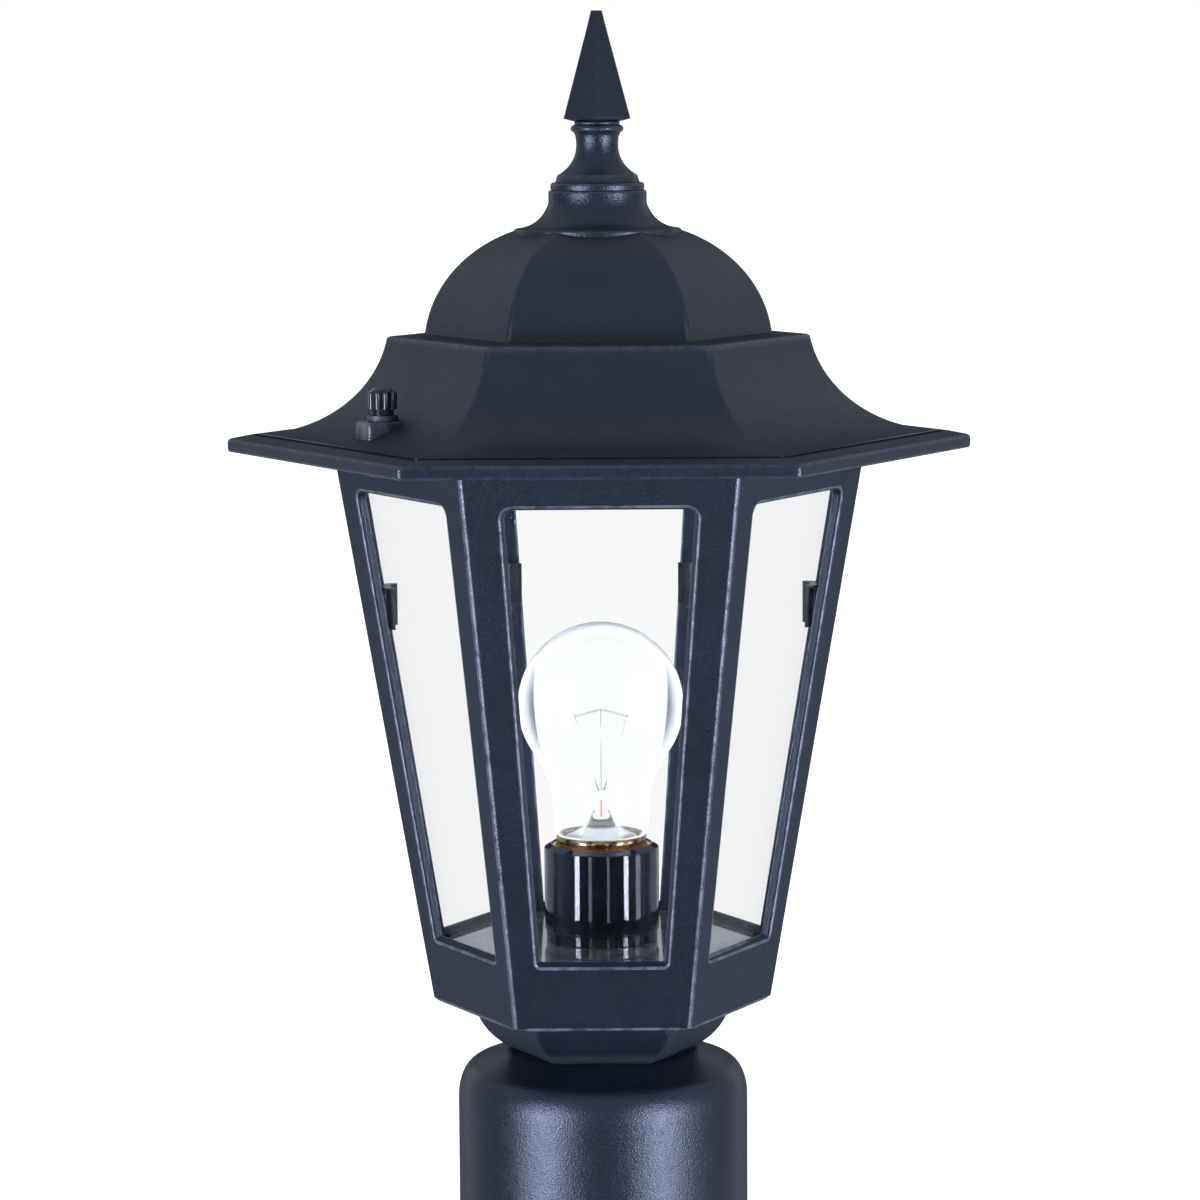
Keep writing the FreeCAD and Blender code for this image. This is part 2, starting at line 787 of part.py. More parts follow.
def make_thumb_nut(n):
    """Closed nut with a waist and a grooved head."""
    neck_z = nut_z + nut_waist_h
    top_z = nut_z + nut_h
    body = turned(
        (0, nut_z),
        (nut_waist_r, nut_z),
        (nut_waist_r, neck_z),
        (nut_r, neck_z),
        (nut_r, top_z - nut_crown),
        (nut_r - nut_crown, top_z),
        (0, top_z),
    )
    floor = nut_r - nut_groove_depth
    outer = 2 * nut_r
    groove = plan([(floor, 0), (outer, floor - outer), (outer, outer - floor)], neck_z)
    groove = groove.extrude(spot(0, 0, nut_head_h))
    body = body.cut([spun(groove, m * 360.0 / nut_grooves) for m in range(nut_grooves)])
    body = body.cut(rod(stud_r + nut_fit, nut_z - 1, top_z - nut_cap))
    return stud_side(moved(body, stud_at, 0, 0), n)


# ---- finial --------------------------------------------------------------------------------------
def square_wire(corner_r, z):
    """Square with its corners on the X and Y axes."""
    points = [(corner_r, 0), (0, corner_r), (-corner_r, 0), (0, -corner_r)]
    return wire_of(points, lambda x, y: spot(x, y, z))


def make_spire():
    """Four-sided spire with rounded edges and a turned underside."""
    foot = spire_low - spire_drop
    foot_r = between(foot, spire_high, spire_high_r, spire_low, spire_low_r)
    spire = Part.makeLoft([square_wire(foot_r, foot), square_wire(spire_high_r, spire_high)], True, True)
    edges = [edge for edge in spire.Edges if edge.BoundBox.ZLength > spire_drop]
    spire = spire.makeChamfer(spire_edge, edges)
    turning = turned(
        (0, foot),
        (finial_ring_r, foot),
        (foot_r, spire_low),
        (foot_r, spire_high),
        (0, spire_high),
    )
    return spire.common(turning)


def make_finial():
    """Turned foot and neck under a spire."""
    foot = neck_top
    shoulder = foot + finial_foot_h
    rise = bead_low - shoulder
    stem = turned(
        (0, foot),
        (finial_foot_r, foot),
        (finial_foot_r, shoulder),
        (finial_foot_r - 2 * finial_step, shoulder + finial_foot_h),
        (finial_waist_r + finial_step, shoulder + rise / 2, finial_waist_r, bead_low),
        (finial_bead_r, bead_low + bead_h / 3),
        (finial_bead_r, bead_low + bead_h * 2 / 3),
        (finial_waist_r, bead_low + bead_h),
        (finial_ring_r, bead_low + bead_h),
        (finial_ring_r, spire_low - spire_drop),
        (0, spire_low - spire_drop),
    )
    body = joined([stem, make_spire()])
    body = body.cut(rod(finial_stud_r, foot - 1, foot + finial_stud_up))
    return moved(body, 0, 0, roof_z)


def web_z():
    """Underside of the web in the roof's neck."""
    return roof_z + neck_top - neck_web


def make_finial_stud():
    """Threaded stud that holds the finial."""
    low = web_z() - finial_stud_down
    return rod(finial_stud_r, low, roof_z + neck_top + finial_stud_up)


def make_finial_washer():
    """Washer under the roof's web."""
    return tube(finial_washer_r, finial_stud_r, web_z() - finial_washer_t, web_z())


def make_finial_nut():
    """Nut that draws the finial down."""
    high = web_z() - finial_washer_t
    low = high - finial_nut_h
    return hexagon(finial_nut_flats, low, high).cut(rod(finial_stud_r, low - 1, high + 1))


# ---- lamp socket ---------------------------------------------------------------------------------
def make_socket():
    """Moulded socket body."""
    inner = socket_r - socket_wall
    return turned(
        (nipple_r, socket_z),
        (socket_r, socket_z),
        (socket_r, socket_top - socket_chamfer_z),
        (socket_r - socket_chamfer_x, socket_top),
        (inner, socket_top),
        (inner, insulator_z),
        (nipple_r, insulator_z),
    )


def make_socket_insulator():
    """Disc that carries the contacts."""
    return tube(socket_inner_r, nipple_bore_r / 2, insulator_z, contact_z)


def make_screw_shell():
    """Brass shell that takes the lamp."""
    top = socket_top - shell_set_down
    foot = shell_inner_r - shell_foot_w
    return turned(
        (socket_inner_r, contact_z),
        (socket_inner_r, top),
        (shell_inner_r, top),
        (shell_inner_r, contact_z + shell_foot_h),
        (foot, contact_z + shell_foot_h),
        (foot, contact_z),
    )


def make_centre_contact():
    """Sprung strip under the lamp's tip."""
    foot = lamp_tip_r * 2
    rise = contact_z + contact_rise
    steps = [
        (-foot, contact_z),
        (-foot / 2, contact_z),
        (-foot / 6, rise),
        (foot / 4, rise),
        (foot / 4, rise + contact_t),
        (-foot / 6 - contact_lean, rise + contact_t),
        (-foot / 2 - contact_lean, contact_z + contact_t),
        (-foot, contact_z + contact_t),
    ]
    strip = section(*steps).extrude(spot(0, contact_w))
    return moved(strip, 0, -contact_w / 2, 0)


# ---- lamp ----------------------------------------------------------------------------------------
def lamp_profile(offset):
    """Steps from the neck to the crown, a distance inside the glass's outer surface."""
    turn = math.radians(lamp_neck_turn)
    centre_z = lamp_top - lamp_r
    waist_x = lamp_r * math.cos(turn)
    waist_z = centre_z - lamp_r * math.sin(turn)
    sweep_r = (waist_x - lamp_neck_r) / (1 - math.cos(turn))
    neck_z = waist_z - sweep_r * math.sin(turn)
    sweep_x = lamp_neck_r + sweep_r
    outer_sweep = sweep_r + offset
    radius = lamp_r - offset
    join = arc_point(0, centre_z, radius, -lamp_neck_turn)
    crown_mid = arc_point(0, centre_z, radius, 30)
    sweep_mid = arc_point(sweep_x, neck_z, -outer_sweep, -lamp_neck_turn / 2)
    return [
        (lamp_neck_r - offset, neck_z),
        (*sweep_mid, *join),
        (*crown_mid, 0, centre_z + radius),
    ]


def make_lamp_glass():
    """Clear envelope."""
    foot_z = lamp_base_top + lamp_seal
    outer = lamp_profile(0)
    inner = lamp_profile(lamp_glass_t)
    foot_r = lamp_neck_r - lamp_glass_in
    round_z = foot_z + lamp_glass_round
    solid = turned((0, foot_z), (foot_r, foot_z), (lamp_neck_r, round_z), *outer)
    hollow = turned(
        (0, foot_z - 1),
        (foot_r - lamp_glass_t, foot_z - 1),
        (foot_r - lamp_glass_t, foot_z),
        (lamp_neck_r - lamp_glass_t, round_z),
        *inner,
    )
    return solid.cut(hollow)


def lamp_shell_z():
    """Lower edge of the lamp's screw shell."""
    return lamp_tip_z + lamp_tip_h + lamp_insulator_h


def make_lamp_base():
    """Screw shell of the lamp."""
    low = lamp_shell_z()
    band = lamp_base_top - lamp_base_band
    root = lamp_base_r - lamp_base_step
    inner = root - lamp_base_wall
    return turned(
        (inner, low),
        (root, low),
        (root, band - lamp_base_step),
        (lamp_base_r, band),
        (lamp_base_r, lamp_base_top),
        (inner, lamp_base_top),
    )


def make_lamp_insulator():
    """Dark glass between shell and tip."""
    low = lamp_tip_z + lamp_tip_h
    top = lamp_shell_z()
    wide = lamp_base_r - lamp_insulator_in
    return turned(
        (0, low),
        (lamp_tip_r + lamp_insulator_lip, low),
        (wide - lamp_insulator_cone, top - lamp_insulator_edge),
        (wide, top),
        (0, top),
    )


def make_lamp_tip():
    """Solder contact."""
    top = lamp_tip_z + lamp_tip_h
    return turned(
        (0, lamp_tip_z),
        (lamp_tip_r * lamp_tip_share, lamp_tip_z),
        (lamp_tip_r, lamp_tip_z + lamp_tip_h * lamp_tip_share),
        (lamp_tip_r, top),
        (0, top),
    )


def make_lamp_stem():
    """Flared glass mount inside the neck."""
    foot = lamp_base_top - stem_set_down
    wide = lamp_base_r - lamp_base_step - lamp_base_wall - stem_clearance
    return turned(
        (0, foot),
        (wide, foot),
        (stem_r * 1.6, foot + stem_flare_h / 3),
        (stem_r, foot + stem_flare_h),
        (stem_r, stem_top - stem_r / 2),
        (stem_r / 2, stem_top),
        (0, stem_top),
    )


def wire_between(start, end, radius):
    """Straight round wire."""
    run = end - start
    return Part.makeCylinder(radius, run.Length, start, run)


def make_lamp_leads():
    """Two lead wires and a centre support."""
    stem = rod(stem_r, stem_top - stem_r, stem_top)
    leads = []
    for side in (-1, 1):
        foot = spot(side * stem_r / 4, 0, stem_top - lead_r)
        lead = wire_between(foot, spot(side * lead_spread, 0, lead_top), lead_r)
        leads.append(lead.cut(stem))
    leads.append(wire_between(spot(0, 0, stem_top), spot(0, 0, lead_top + filament_lift), support_r))
    return Part.makeCompound(leads)


def make_lamp_filament():
    """Filament from lead to lead over the support."""
    top = lead_top + filament_r
    crest = spot(0, 0, top + filament_lift)
    knot = Part.makeSphere(filament_r, crest)
    halves = [wire_between(spot(side * lead_spread, 0, top), crest, filament_r) for side in (-1, 1)]
    return joined([knot] + halves)


# ---- assembly ------------------------------------------------------------------------------------
def all_parts():
    """Every sub-part under its node name."""
    parts = {
        "fitter": make_fitter(),
        "base_cup": make_base_cup(),
        "cage": make_cage(),
        "floor_plate": make_floor_plate(),
        "glass_clips": around_corners(make_clip()),
        "roof_studs": make_studs(),
        "nipple": make_nipple(),
        "lower_lock_washer": tube(lock_washer_r, nipple_r, fitter_h - fitter_wall - lock_washer_t,
                                  fitter_h - fitter_wall),
        "lower_locknut": make_locknut(fitter_h - fitter_wall - lock_washer_t - locknut_h, locknut_h),
        "upper_locknut": make_locknut(floor_z, socket_nut_h),
        "roof": make_roof(),
        "finial": make_finial(),
        "finial_stud": make_finial_stud(),
        "finial_washer": make_finial_washer(),
        "finial_nut": make_finial_nut(),
        "socket_body": make_socket(),
        "socket_insulator": make_socket_insulator(),
        "socket_screw_shell": make_screw_shell(),
        "socket_centre_contact": make_centre_contact(),
        "lamp_glass": make_lamp_glass(),
        "lamp_base": make_lamp_base(),
        "lamp_insulator": make_lamp_insulator(),
        "lamp_tip": make_lamp_tip(),
        "lamp_stem": make_lamp_stem(),
        "lamp_leads": make_lamp_leads(),
        "lamp_filament": make_lamp_filament(),
    }
    for n, angle in enumerate(screw_angles()):
        parts[f"set_screw_{n + 1}"] = make_set_screw(angle)
    for n in range(SIDES):
        parts[f"glass_pane_{n + 1}"] = make_pane(n)
    for order, n in enumerate(fastener_faces):
        parts[f"seal_washer_{order + 1}"] = make_seal(n)
        parts[f"thumb_nut_{order + 1}"] = make_thumb_nut(n)
    return parts


os.makedirs("parts", exist_ok=True)
for name, shape in all_parts().items():
    shape.exportStep(f"parts/{name}.step")
    state = "valid" if shape.isValid() else "NOT VALID"
    print(name, shape.ShapeType, len(shape.Solids), state, round(shape.Volume, 1))
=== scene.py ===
"""Looks of the post top lantern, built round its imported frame.

The sub-assemblies hold their sizes in millimetres, as on a drawing, and their meshes come out in metres.
Heights are above the sleeve's bottom rim, +Z is up, and the front face looks along -Y.
"""
import logging
import math
from dataclasses import dataclass, replace
from enum import Enum
from typing import Callable, Sequence

import bmesh
import bpy
from mathutils import Matrix, Vector


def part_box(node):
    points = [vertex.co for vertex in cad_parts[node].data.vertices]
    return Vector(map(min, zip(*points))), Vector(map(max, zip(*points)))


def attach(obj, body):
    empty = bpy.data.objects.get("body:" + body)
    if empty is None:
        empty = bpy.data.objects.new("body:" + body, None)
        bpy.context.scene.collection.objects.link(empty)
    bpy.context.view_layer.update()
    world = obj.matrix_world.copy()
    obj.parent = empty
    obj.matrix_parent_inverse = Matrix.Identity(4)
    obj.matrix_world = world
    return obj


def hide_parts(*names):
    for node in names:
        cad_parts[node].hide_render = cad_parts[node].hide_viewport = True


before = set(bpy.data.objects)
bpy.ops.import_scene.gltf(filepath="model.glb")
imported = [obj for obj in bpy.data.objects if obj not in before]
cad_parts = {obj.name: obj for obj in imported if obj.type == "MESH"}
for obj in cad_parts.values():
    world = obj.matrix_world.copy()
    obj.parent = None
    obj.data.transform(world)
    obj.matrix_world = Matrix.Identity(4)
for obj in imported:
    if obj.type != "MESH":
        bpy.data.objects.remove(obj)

Point = tuple[float, float]
Corner = tuple[float, ...]
Node = bpy.types.Node
Socket = bpy.types.NodeSocket
Piece = bpy.types.Object

MM = 0.001
SIDES = 6
SIDE_TURN = math.tau / SIDES
FIRST_FACE = SIDE_TURN / 2
FASTENER_FACES = (0, 3)
LONGEST_ROUNDING = 0.42
LONGEST_GUARD = 0.05
ROUNDING_STEPS = 3
DOUBLES_WITHIN = 2e-6
SLIVERS_WITHIN = 1e-7
CRISP_OVER = math.radians(40)
IN_PLACE = Matrix.Identity(4)
LOG = logging.getLogger("lantern")


# ---- sections and shells ----
def arc(centre: Point, radius: float, start: float, end: float, steps: int) -> list[Point]:
    """Points along a circle.

    Args:
        centre: The circle's centre, as distance from the axis and height.
        radius: Its radius.
        start: First angle in degrees, from the outward direction towards up.
        end: Last angle in degrees.
        steps: How many stretches the arc has.

    Returns:
        steps + 1 points.
    """
    angles = [math.radians(start + (end - start) * n / steps) for n in range(steps + 1)]
    return [(centre[0] + radius * math.cos(a), centre[1] + radius * math.sin(a)) for a in angles]


def arc_to(start: Point, end: Point, bulge: float, steps: int) -> list[Point]:
    """Points along a shallow arc between two points, ends left out.

    Args:
        start: Where the arc begins.
        end: Where it ends.
        bulge: How far its middle stands off the straight line, to the left of the way it runs.
        steps: How many stretches the arc has.

    Returns:
        steps - 1 points.
    """
    a = Vector(start)
    run = Vector(end) - a
    side = Vector((-run.y, run.x)).normalized()
    found = []
    for n in range(1, steps):
        t = n / steps
        found.append(tuple(a + run * t + side * bulge * 4 * t * (1 - t)))
    return found


def soften(corners: Sequence[Corner], closed: bool = False) -> list[Point]:
    """Rounds the corners of a section and sets a guard point beside each, so that flats stay flat.

    Args:
        corners: (distance from axis, height) or (distance from axis, height, radius).
        closed: Whether the last corner joins the first.

    Returns:
        The points of the finished section.
    """
    found: list[Point] = []
    count = len(corners)
    for n, corner in enumerate(corners):
        here = Vector(corner[:2])
        radius = corner[2] if len(corner) > 2 else 0.0
        if not radius or (not closed and n in (0, count - 1)):
            found.append((here.x, here.y))
            continue
        back = Vector(corners[n - 1][:2]) - here
        ahead = Vector(corners[(n + 1) % count][:2]) - here
        turn = math.pi - back.angle(ahead)
        shorter = min(back.length, ahead.length)
        reach = min(radius * math.tan(turn / 2), LONGEST_ROUNDING * shorter)
        true_radius = reach / math.tan(turn / 2)
        back_way, ahead_way = back.normalized(), ahead.normalized()
        start, end = here + back_way * reach, here + ahead_way * reach
        middle = here + (back_way + ahead_way).normalized() * (true_radius / math.cos(turn / 2))
        guard = min(0.3 * true_radius + 0.1, LONGEST_GUARD * shorter)
        found.append(tuple(start + back_way * guard))
        for step in range(ROUNDING_STEPS + 1):
            spoke = (start - middle).lerp(end - middle, step / ROUNDING_STEPS).normalized() * true_radius
            found.append(tuple(middle + spoke))
        found.append(tuple(end + ahead_way * guard))
    return found


def circle(radius: float, height: float, around: int) -> list[Vector]:
    """Evenly spread points of a level circle about the axis."""
    turns = [math.tau * n / around for n in range(around)]
    return [Vector((radius * math.cos(t), radius * math.sin(t), height)) for t in turns]


def stand(name: str, data: bpy.types.ID) -> Piece:
    """Puts new data in the scene as an object at the origin."""
    item = bpy.data.objects.new(name, data)
    bpy.context.collection.objects.link(item)
    return item


class Shell:
    """A mesh under construction, in millimetres; what adds to it gives the shell back."""

    def __init__(self) -> None:
        """Starts with no points."""
        self.points: list[Vector] = []
        self.faces: list[tuple[int, ...]] = []

    def grid(self, rows: Sequence[Sequence[Vector]], around: bool = False, along: bool = False) -> "Shell":
        """Adds a grid of four-sided faces.

        Args:
            rows: Rows of equally many points.
            around: Whether each row's end joins its start.
            along: Whether the last row joins the first.

        Returns:
            The same shell.
        """
        base = len(self.points)
        wide = len(rows[0])
        for row in rows:
            self.points.extend(row)
        for i in range(len(rows) if along else len(rows) - 1):
            for j in range(wide if around else wide - 1):
                low = base + i * wide
                high = base + (i + 1) % len(rows) * wide
                k = (j + 1) % wide
                self.faces.append((low + j, low + k, high + k, high + j))
        return self

    def turn(self, section: Sequence[Point], steps: int = 96, closed: bool = False) -> "Shell":
        """Adds a surface of revolution about the axis.

        Args:
            section: (distance from axis, height) points.
            steps: Stretches round the circle.
            closed: Whether the section joins up with its start.

        Returns:
            The same shell.
        """
        return self.grid([circle(r, z, steps) for r, z in section], around=True, along=closed)

    def panel(self, section: Sequence[Point], corner: float, sides: int = SIDES) -> "Shell":
        """Adds one side of a mitred piece, from mid corner to mid corner, facing +X.

        Args:
            section: (distance from axis, height) points.
            corner: Radius of the upright corners, in plan.
            sides: How many sides the whole piece has.

        Returns:
            The same shell.
        """
        half = math.pi / sides
        rows = []
        for out, z in section:
            radius = min(corner, 0.4 * out)
            inset = out - radius
            wide = inset * math.tan(half)
            guard = min(0.5, 0.25 * wide)
            right = [(out, wide - guard)]
            for step in range(5):
                turn = half * step / 4
                right.append((inset + radius * math.cos(turn), wide + radius * math.sin(turn)))
            rows.append([Vector((x, -y, z)) for x, y in reversed(right)] + [Vector((x, y, z)) for x, y in right])
        return self.grid(rows)

    def block(self, outline: Sequence[Point], low: float, high: float, edge: float) -> "Shell":
        """Adds an upright block with softened edges.

        Args:
            outline: Its plan, counter-clockwise from above.
            low: Height of its underside.
            high: Height of its top.
            edge: How far the edges are cut back.

        Returns:
            The same shell.
        """
        mesh = bmesh.new()
        face = mesh.faces.new([mesh.verts.new((x, y, low)) for x, y in outline])
        made = bmesh.ops.extrude_face_region(mesh, geom=[face])["geom"]
        top = [v for v in made if isinstance(v, bmesh.types.BMVert)]
        bmesh.ops.translate(mesh, vec=(0, 0, high - low), verts=top)
        bmesh.ops.recalc_face_normals(mesh, faces=mesh.faces)
        bmesh.ops.bevel(mesh, geom=mesh.edges[:], offset=edge, segments=3, profile=0.5, affect="EDGES")
        mesh.verts.index_update()
        base = len(self.points)
        self.points.extend(v.co.copy() for v in mesh.verts)
        self.faces.extend(tuple(base + v.index for v in f.verts) for f in mesh.faces)
        mesh.free()
        return self

    def merge(self, other: "Shell", place: Matrix = IN_PLACE) -> "Shell":
        """Copies another shell in, moved by a matrix, and returns this one."""
        base = len(self.points)
        self.points.extend(place @ p for p in other.points)
        self.faces.extend(tuple(base + i for i in f) for f in other.faces)
        return self

    def piece(self, name: str) -> Piece:
        """Makes the object: metres, doubles merged, smooth.

        Args:
            name: The piece's name.

        Returns:
            The new object, at the origin.
        """
        mesh = bpy.data.meshes.new(name)
        mesh.from_pydata([p * MM for p in self.points], [], self.faces)
        made = stand(name, mesh)
        close(made)
        return made


def close(piece: Piece) -> None:
    """Merges a piece's doubles, turns its faces outwards and shades it smooth."""
    mesh = bmesh.new()
    mesh.from_mesh(piece.data)
    bmesh.ops.remove_doubles(mesh, verts=mesh.verts, dist=DOUBLES_WITHIN)
    bmesh.ops.dissolve_degenerate(mesh, edges=mesh.edges, dist=SLIVERS_WITHIN)
    bmesh.ops.recalc_face_normals(mesh, faces=mesh.faces)
    mesh.to_mesh(piece.data)
    mesh.free()
    piece.data.shade_smooth()


def cut(piece: Piece, tool: Piece) -> None:
    """Cuts a tool's shape out of a piece, keeps the new edges crisp and discards the tool.

    Args:
        piece: The piece to cut; its mesh is replaced.
        tool: A closed shape.
    """
    modifier = piece.modifiers.new("cut", "BOOLEAN")
    modifier.operation = "DIFFERENCE"
    modifier.solver = "EXACT"
    modifier.object = tool
    settle(piece, modifier)
    bpy.data.objects.remove(tool)
    mesh = bmesh.new()
    mesh.from_mesh(piece.data)
    for edge in mesh.edges:
        edge.smooth = edge.calc_face_angle(0.0) < CRISP_OVER
    mesh.to_mesh(piece.data)
    mesh.free()


def settle(piece: Piece, modifier: bpy.types.Modifier) -> None:
    """Makes a modifier's result the piece's plain mesh and removes the modifier."""
    graph = bpy.context.evaluated_depsgraph_get()
    made = bpy.data.meshes.new_from_object(piece.evaluated_get(graph), depsgraph=graph)
    piece.modifiers.remove(modifier)
    piece.data = made


def turned_to(face: int, out: float = 0.0) -> Matrix:
    """Carries a shape drawn on +X, moved out by a distance, to a side of the lantern."""
    return Matrix.Rotation(FIRST_FACE + face * SIDE_TURN, 4, "Z") @ Matrix.Translation((out, 0, 0))


def raised(section: Sequence[Point], rise: float) -> list[Point]:
    """A section moved up."""
    return [(out, z + rise) for out, z in section]


def at_fasteners(one: Shell, out: float = 0.0) -> Shell:
    """Copies of a shape drawn on +X, moved out by a distance, on both fastened sides."""
    both = Shell()
    for face in FASTENER_FACES:
        both.merge(one, turned_to(face, out))
    return both


# ---- what repeats: a Geometry Nodes ring ----
class Ring:
    """Repeats a piece round the Z axis."""

    def __init__(self) -> None:
        """Builds the tree."""
        self.tree = bpy.data.node_groups.new("ring", "GeometryNodeTree")
        face = self.tree.interface
        face.new_socket(name="Geometry", in_out="INPUT", socket_type="NodeSocketGeometry")
        self.count, self.first, self.material = (
            face.new_socket(name=name, in_out="INPUT", socket_type=f"NodeSocket{kind}").identifier
            for name, kind in (("Count", "Int"), ("First Angle", "Float"), ("Material", "Material")))
        face.new_socket(name="Geometry", in_out="OUTPUT", socket_type="NodeSocketGeometry")
        entry, points, index, step, angle, turn, spread, realize, dress, leave = map(self.tree.nodes.new, (
            "NodeGroupInput", "GeometryNodePoints", "GeometryNodeInputIndex", "ShaderNodeMath", "ShaderNodeMath",
            "ShaderNodeCombineXYZ", "GeometryNodeInstanceOnPoints", "GeometryNodeRealizeInstances",
            "GeometryNodeSetMaterial", "NodeGroupOutput"))
        step.operation = "DIVIDE"
        step.inputs[0].default_value = math.tau
        angle.operation = "MULTIPLY_ADD"
        for source, out, target, entering in (
                (entry, "Count", points, "Count"), (entry, "Count", step, 1), (index, 0, angle, 0),
                (step, 0, angle, 1), (entry, "First Angle", angle, 2), (angle, 0, turn, "Z"),
                (points, 0, spread, "Points"), (entry, "Geometry", spread, "Instance"), (turn, 0, spread, "Rotation"),
                (spread, 0, realize, 0), (realize, 0, dress, "Geometry"), (entry, "Material", dress, "Material"),
                (dress, 0, leave, 0)):
            self.tree.links.new(source.outputs[out], target.inputs[entering])

    def repeat(self, piece: Piece, count: int, first: float, material: bpy.types.Material) -> None:
        """Turns a piece into a ring of itself, as one plain mesh.

        Args:
            piece: The piece to repeat; its mesh is replaced.
            count: How many there are in the ring.
            first: Angle of the first, in radians.
            material: What all of them are made of.
        """
        modifier = piece.modifiers.new("ring", "NODES")
        modifier.node_group = self.tree
        modifier[self.count] = count
        modifier[self.first] = first
        modifier[self.material] = material
        settle(piece, modifier)
        close(piece)


# ---- finishes ----
class Tree:
    """Short-hand for building a material's nodes."""

    def __init__(self, name: str) -> None:
        """Makes a material with an empty tree."""
        self.material = bpy.data.materials.new(name)
        self.material.use_nodes = True
        self.nodes = self.material.node_tree.nodes
        self.links = self.material.node_tree.links
        self.nodes.clear()

    @classmethod
    def of(cls, node_tree: bpy.types.NodeTree) -> "Tree":
        """The same short-hand for a tree that exists; it is emptied."""
        tree = cls.__new__(cls)
        tree.nodes = node_tree.nodes
        tree.links = node_tree.links
        tree.nodes.clear()
        return tree

    def add(self, kind: str, **settings: object) -> Node:
        """Adds a node and sets its properties."""
        node = self.nodes.new(kind)
        for key, value in settings.items():
            setattr(node, key, value)
        return node

    def plug(self, socket: Socket, value: object) -> None:
        """Links a socket's source, or sets its constant."""
        if isinstance(value, bpy.types.NodeSocket):
            self.links.new(value, socket)
        else:
            socket.default_value = value

    def feed(self, node: Node, **values: object) -> Node:
        """Sets a node's inputs by name: a socket is linked, anything else is set.

        Args:
            node: The node to feed.
            values: Input names, with _ for a space.

        Returns:
            The same node.
        """
        for key, value in values.items():
            self.plug(node.inputs[key.replace("_", " ")], value)
        return node

    def facing(self) -> Socket:
        """0 where a surface faces the eye, towards 1 at its rim."""
        return self.feed(self.add("ShaderNodeLayerWeight"), Blend=0.5).outputs["Facing"]

    def place(self, stretch: Sequence[float] = (1, 1, 1)) -> Socket:
        """Object coordinates, stretched along the axes."""
        where = self.add("ShaderNodeTexCoord")
        mapping = self.add("ShaderNodeMapping")
        self.feed(mapping, Vector=where.outputs["Object"], Scale=tuple(stretch))
        return mapping.outputs[0]

    def noise(self, place: Socket, scale: float, detail: float = 3.0) -> Socket:
        """A noise between 0 and 1, features about 1/scale metres across."""
        node = self.add("ShaderNodeTexNoise")
        self.feed(node, Vector=place, Scale=scale, Detail=detail)
        return node.outputs["Fac"]

    def ramp(self, value: Socket, low: float, high: float, to_low: float, to_high: float) -> Socket:
        """Maps a value from one range to another, clamped."""
        node = self.add("ShaderNodeMapRange")
        self.feed(node, Value=value, From_Min=low, From_Max=high, To_Min=to_low, To_Max=to_high)
        return node.outputs[0]

    def blend(self, factor: Socket | float, first: object, second: object) -> Socket:
        """Mixes two colours."""
        node = self.add("ShaderNodeMix", data_type="RGBA")
        for socket, value in ((0, factor), (6, first), (7, second)):
            self.plug(node.inputs[socket], value)
        return node.outputs[2]

    def math(self, operation: str, first: object, second: object = 0.0) -> Socket:
        """One step of arithmetic."""
        node = self.add("ShaderNodeMath", operation=operation)
        for socket, value in zip(node.inputs, (first, second)):
            self.plug(socket, value)
        return node.outputs[0]

    def bump(self, height: Socket, strength: float, depth: float, under: Socket | None = None) -> Socket:
        """A bump of a depth in metres, on top of another."""
        node = self.add("ShaderNodeBump")
        self.feed(node, Height=height, Strength=strength, Distance=depth)
        if under is not None:
            self.links.new(under, node.inputs["Normal"])
        return node.outputs[0]

    def mix(self, factor: Socket | float, first: Socket, second: Socket) -> Socket:
        """Mixes two shaders."""
        node = self.add("ShaderNodeMixShader")
        for socket, value in zip(node.inputs, (factor, first, second)):
            self.plug(socket, value)
        return node.outputs[0]

    def show(self, shader: Socket) -> bpy.types.Material:
        """Links a shader to the output and returns the material."""
        output = self.add("ShaderNodeOutputMaterial")
        self.links.new(shader, output.inputs["Surface"])
        return self.material


DUST = (0.32, 0.3, 0.27)
FLECK = (0.004, 0.005, 0.007)
MILK = (0.9, 0.9, 0.9)


def rgba(colour: Sequence[float]) -> tuple[float, float, float, float]:
    """A colour with full alpha."""
    return (colour[0], colour[1], colour[2], 1.0)


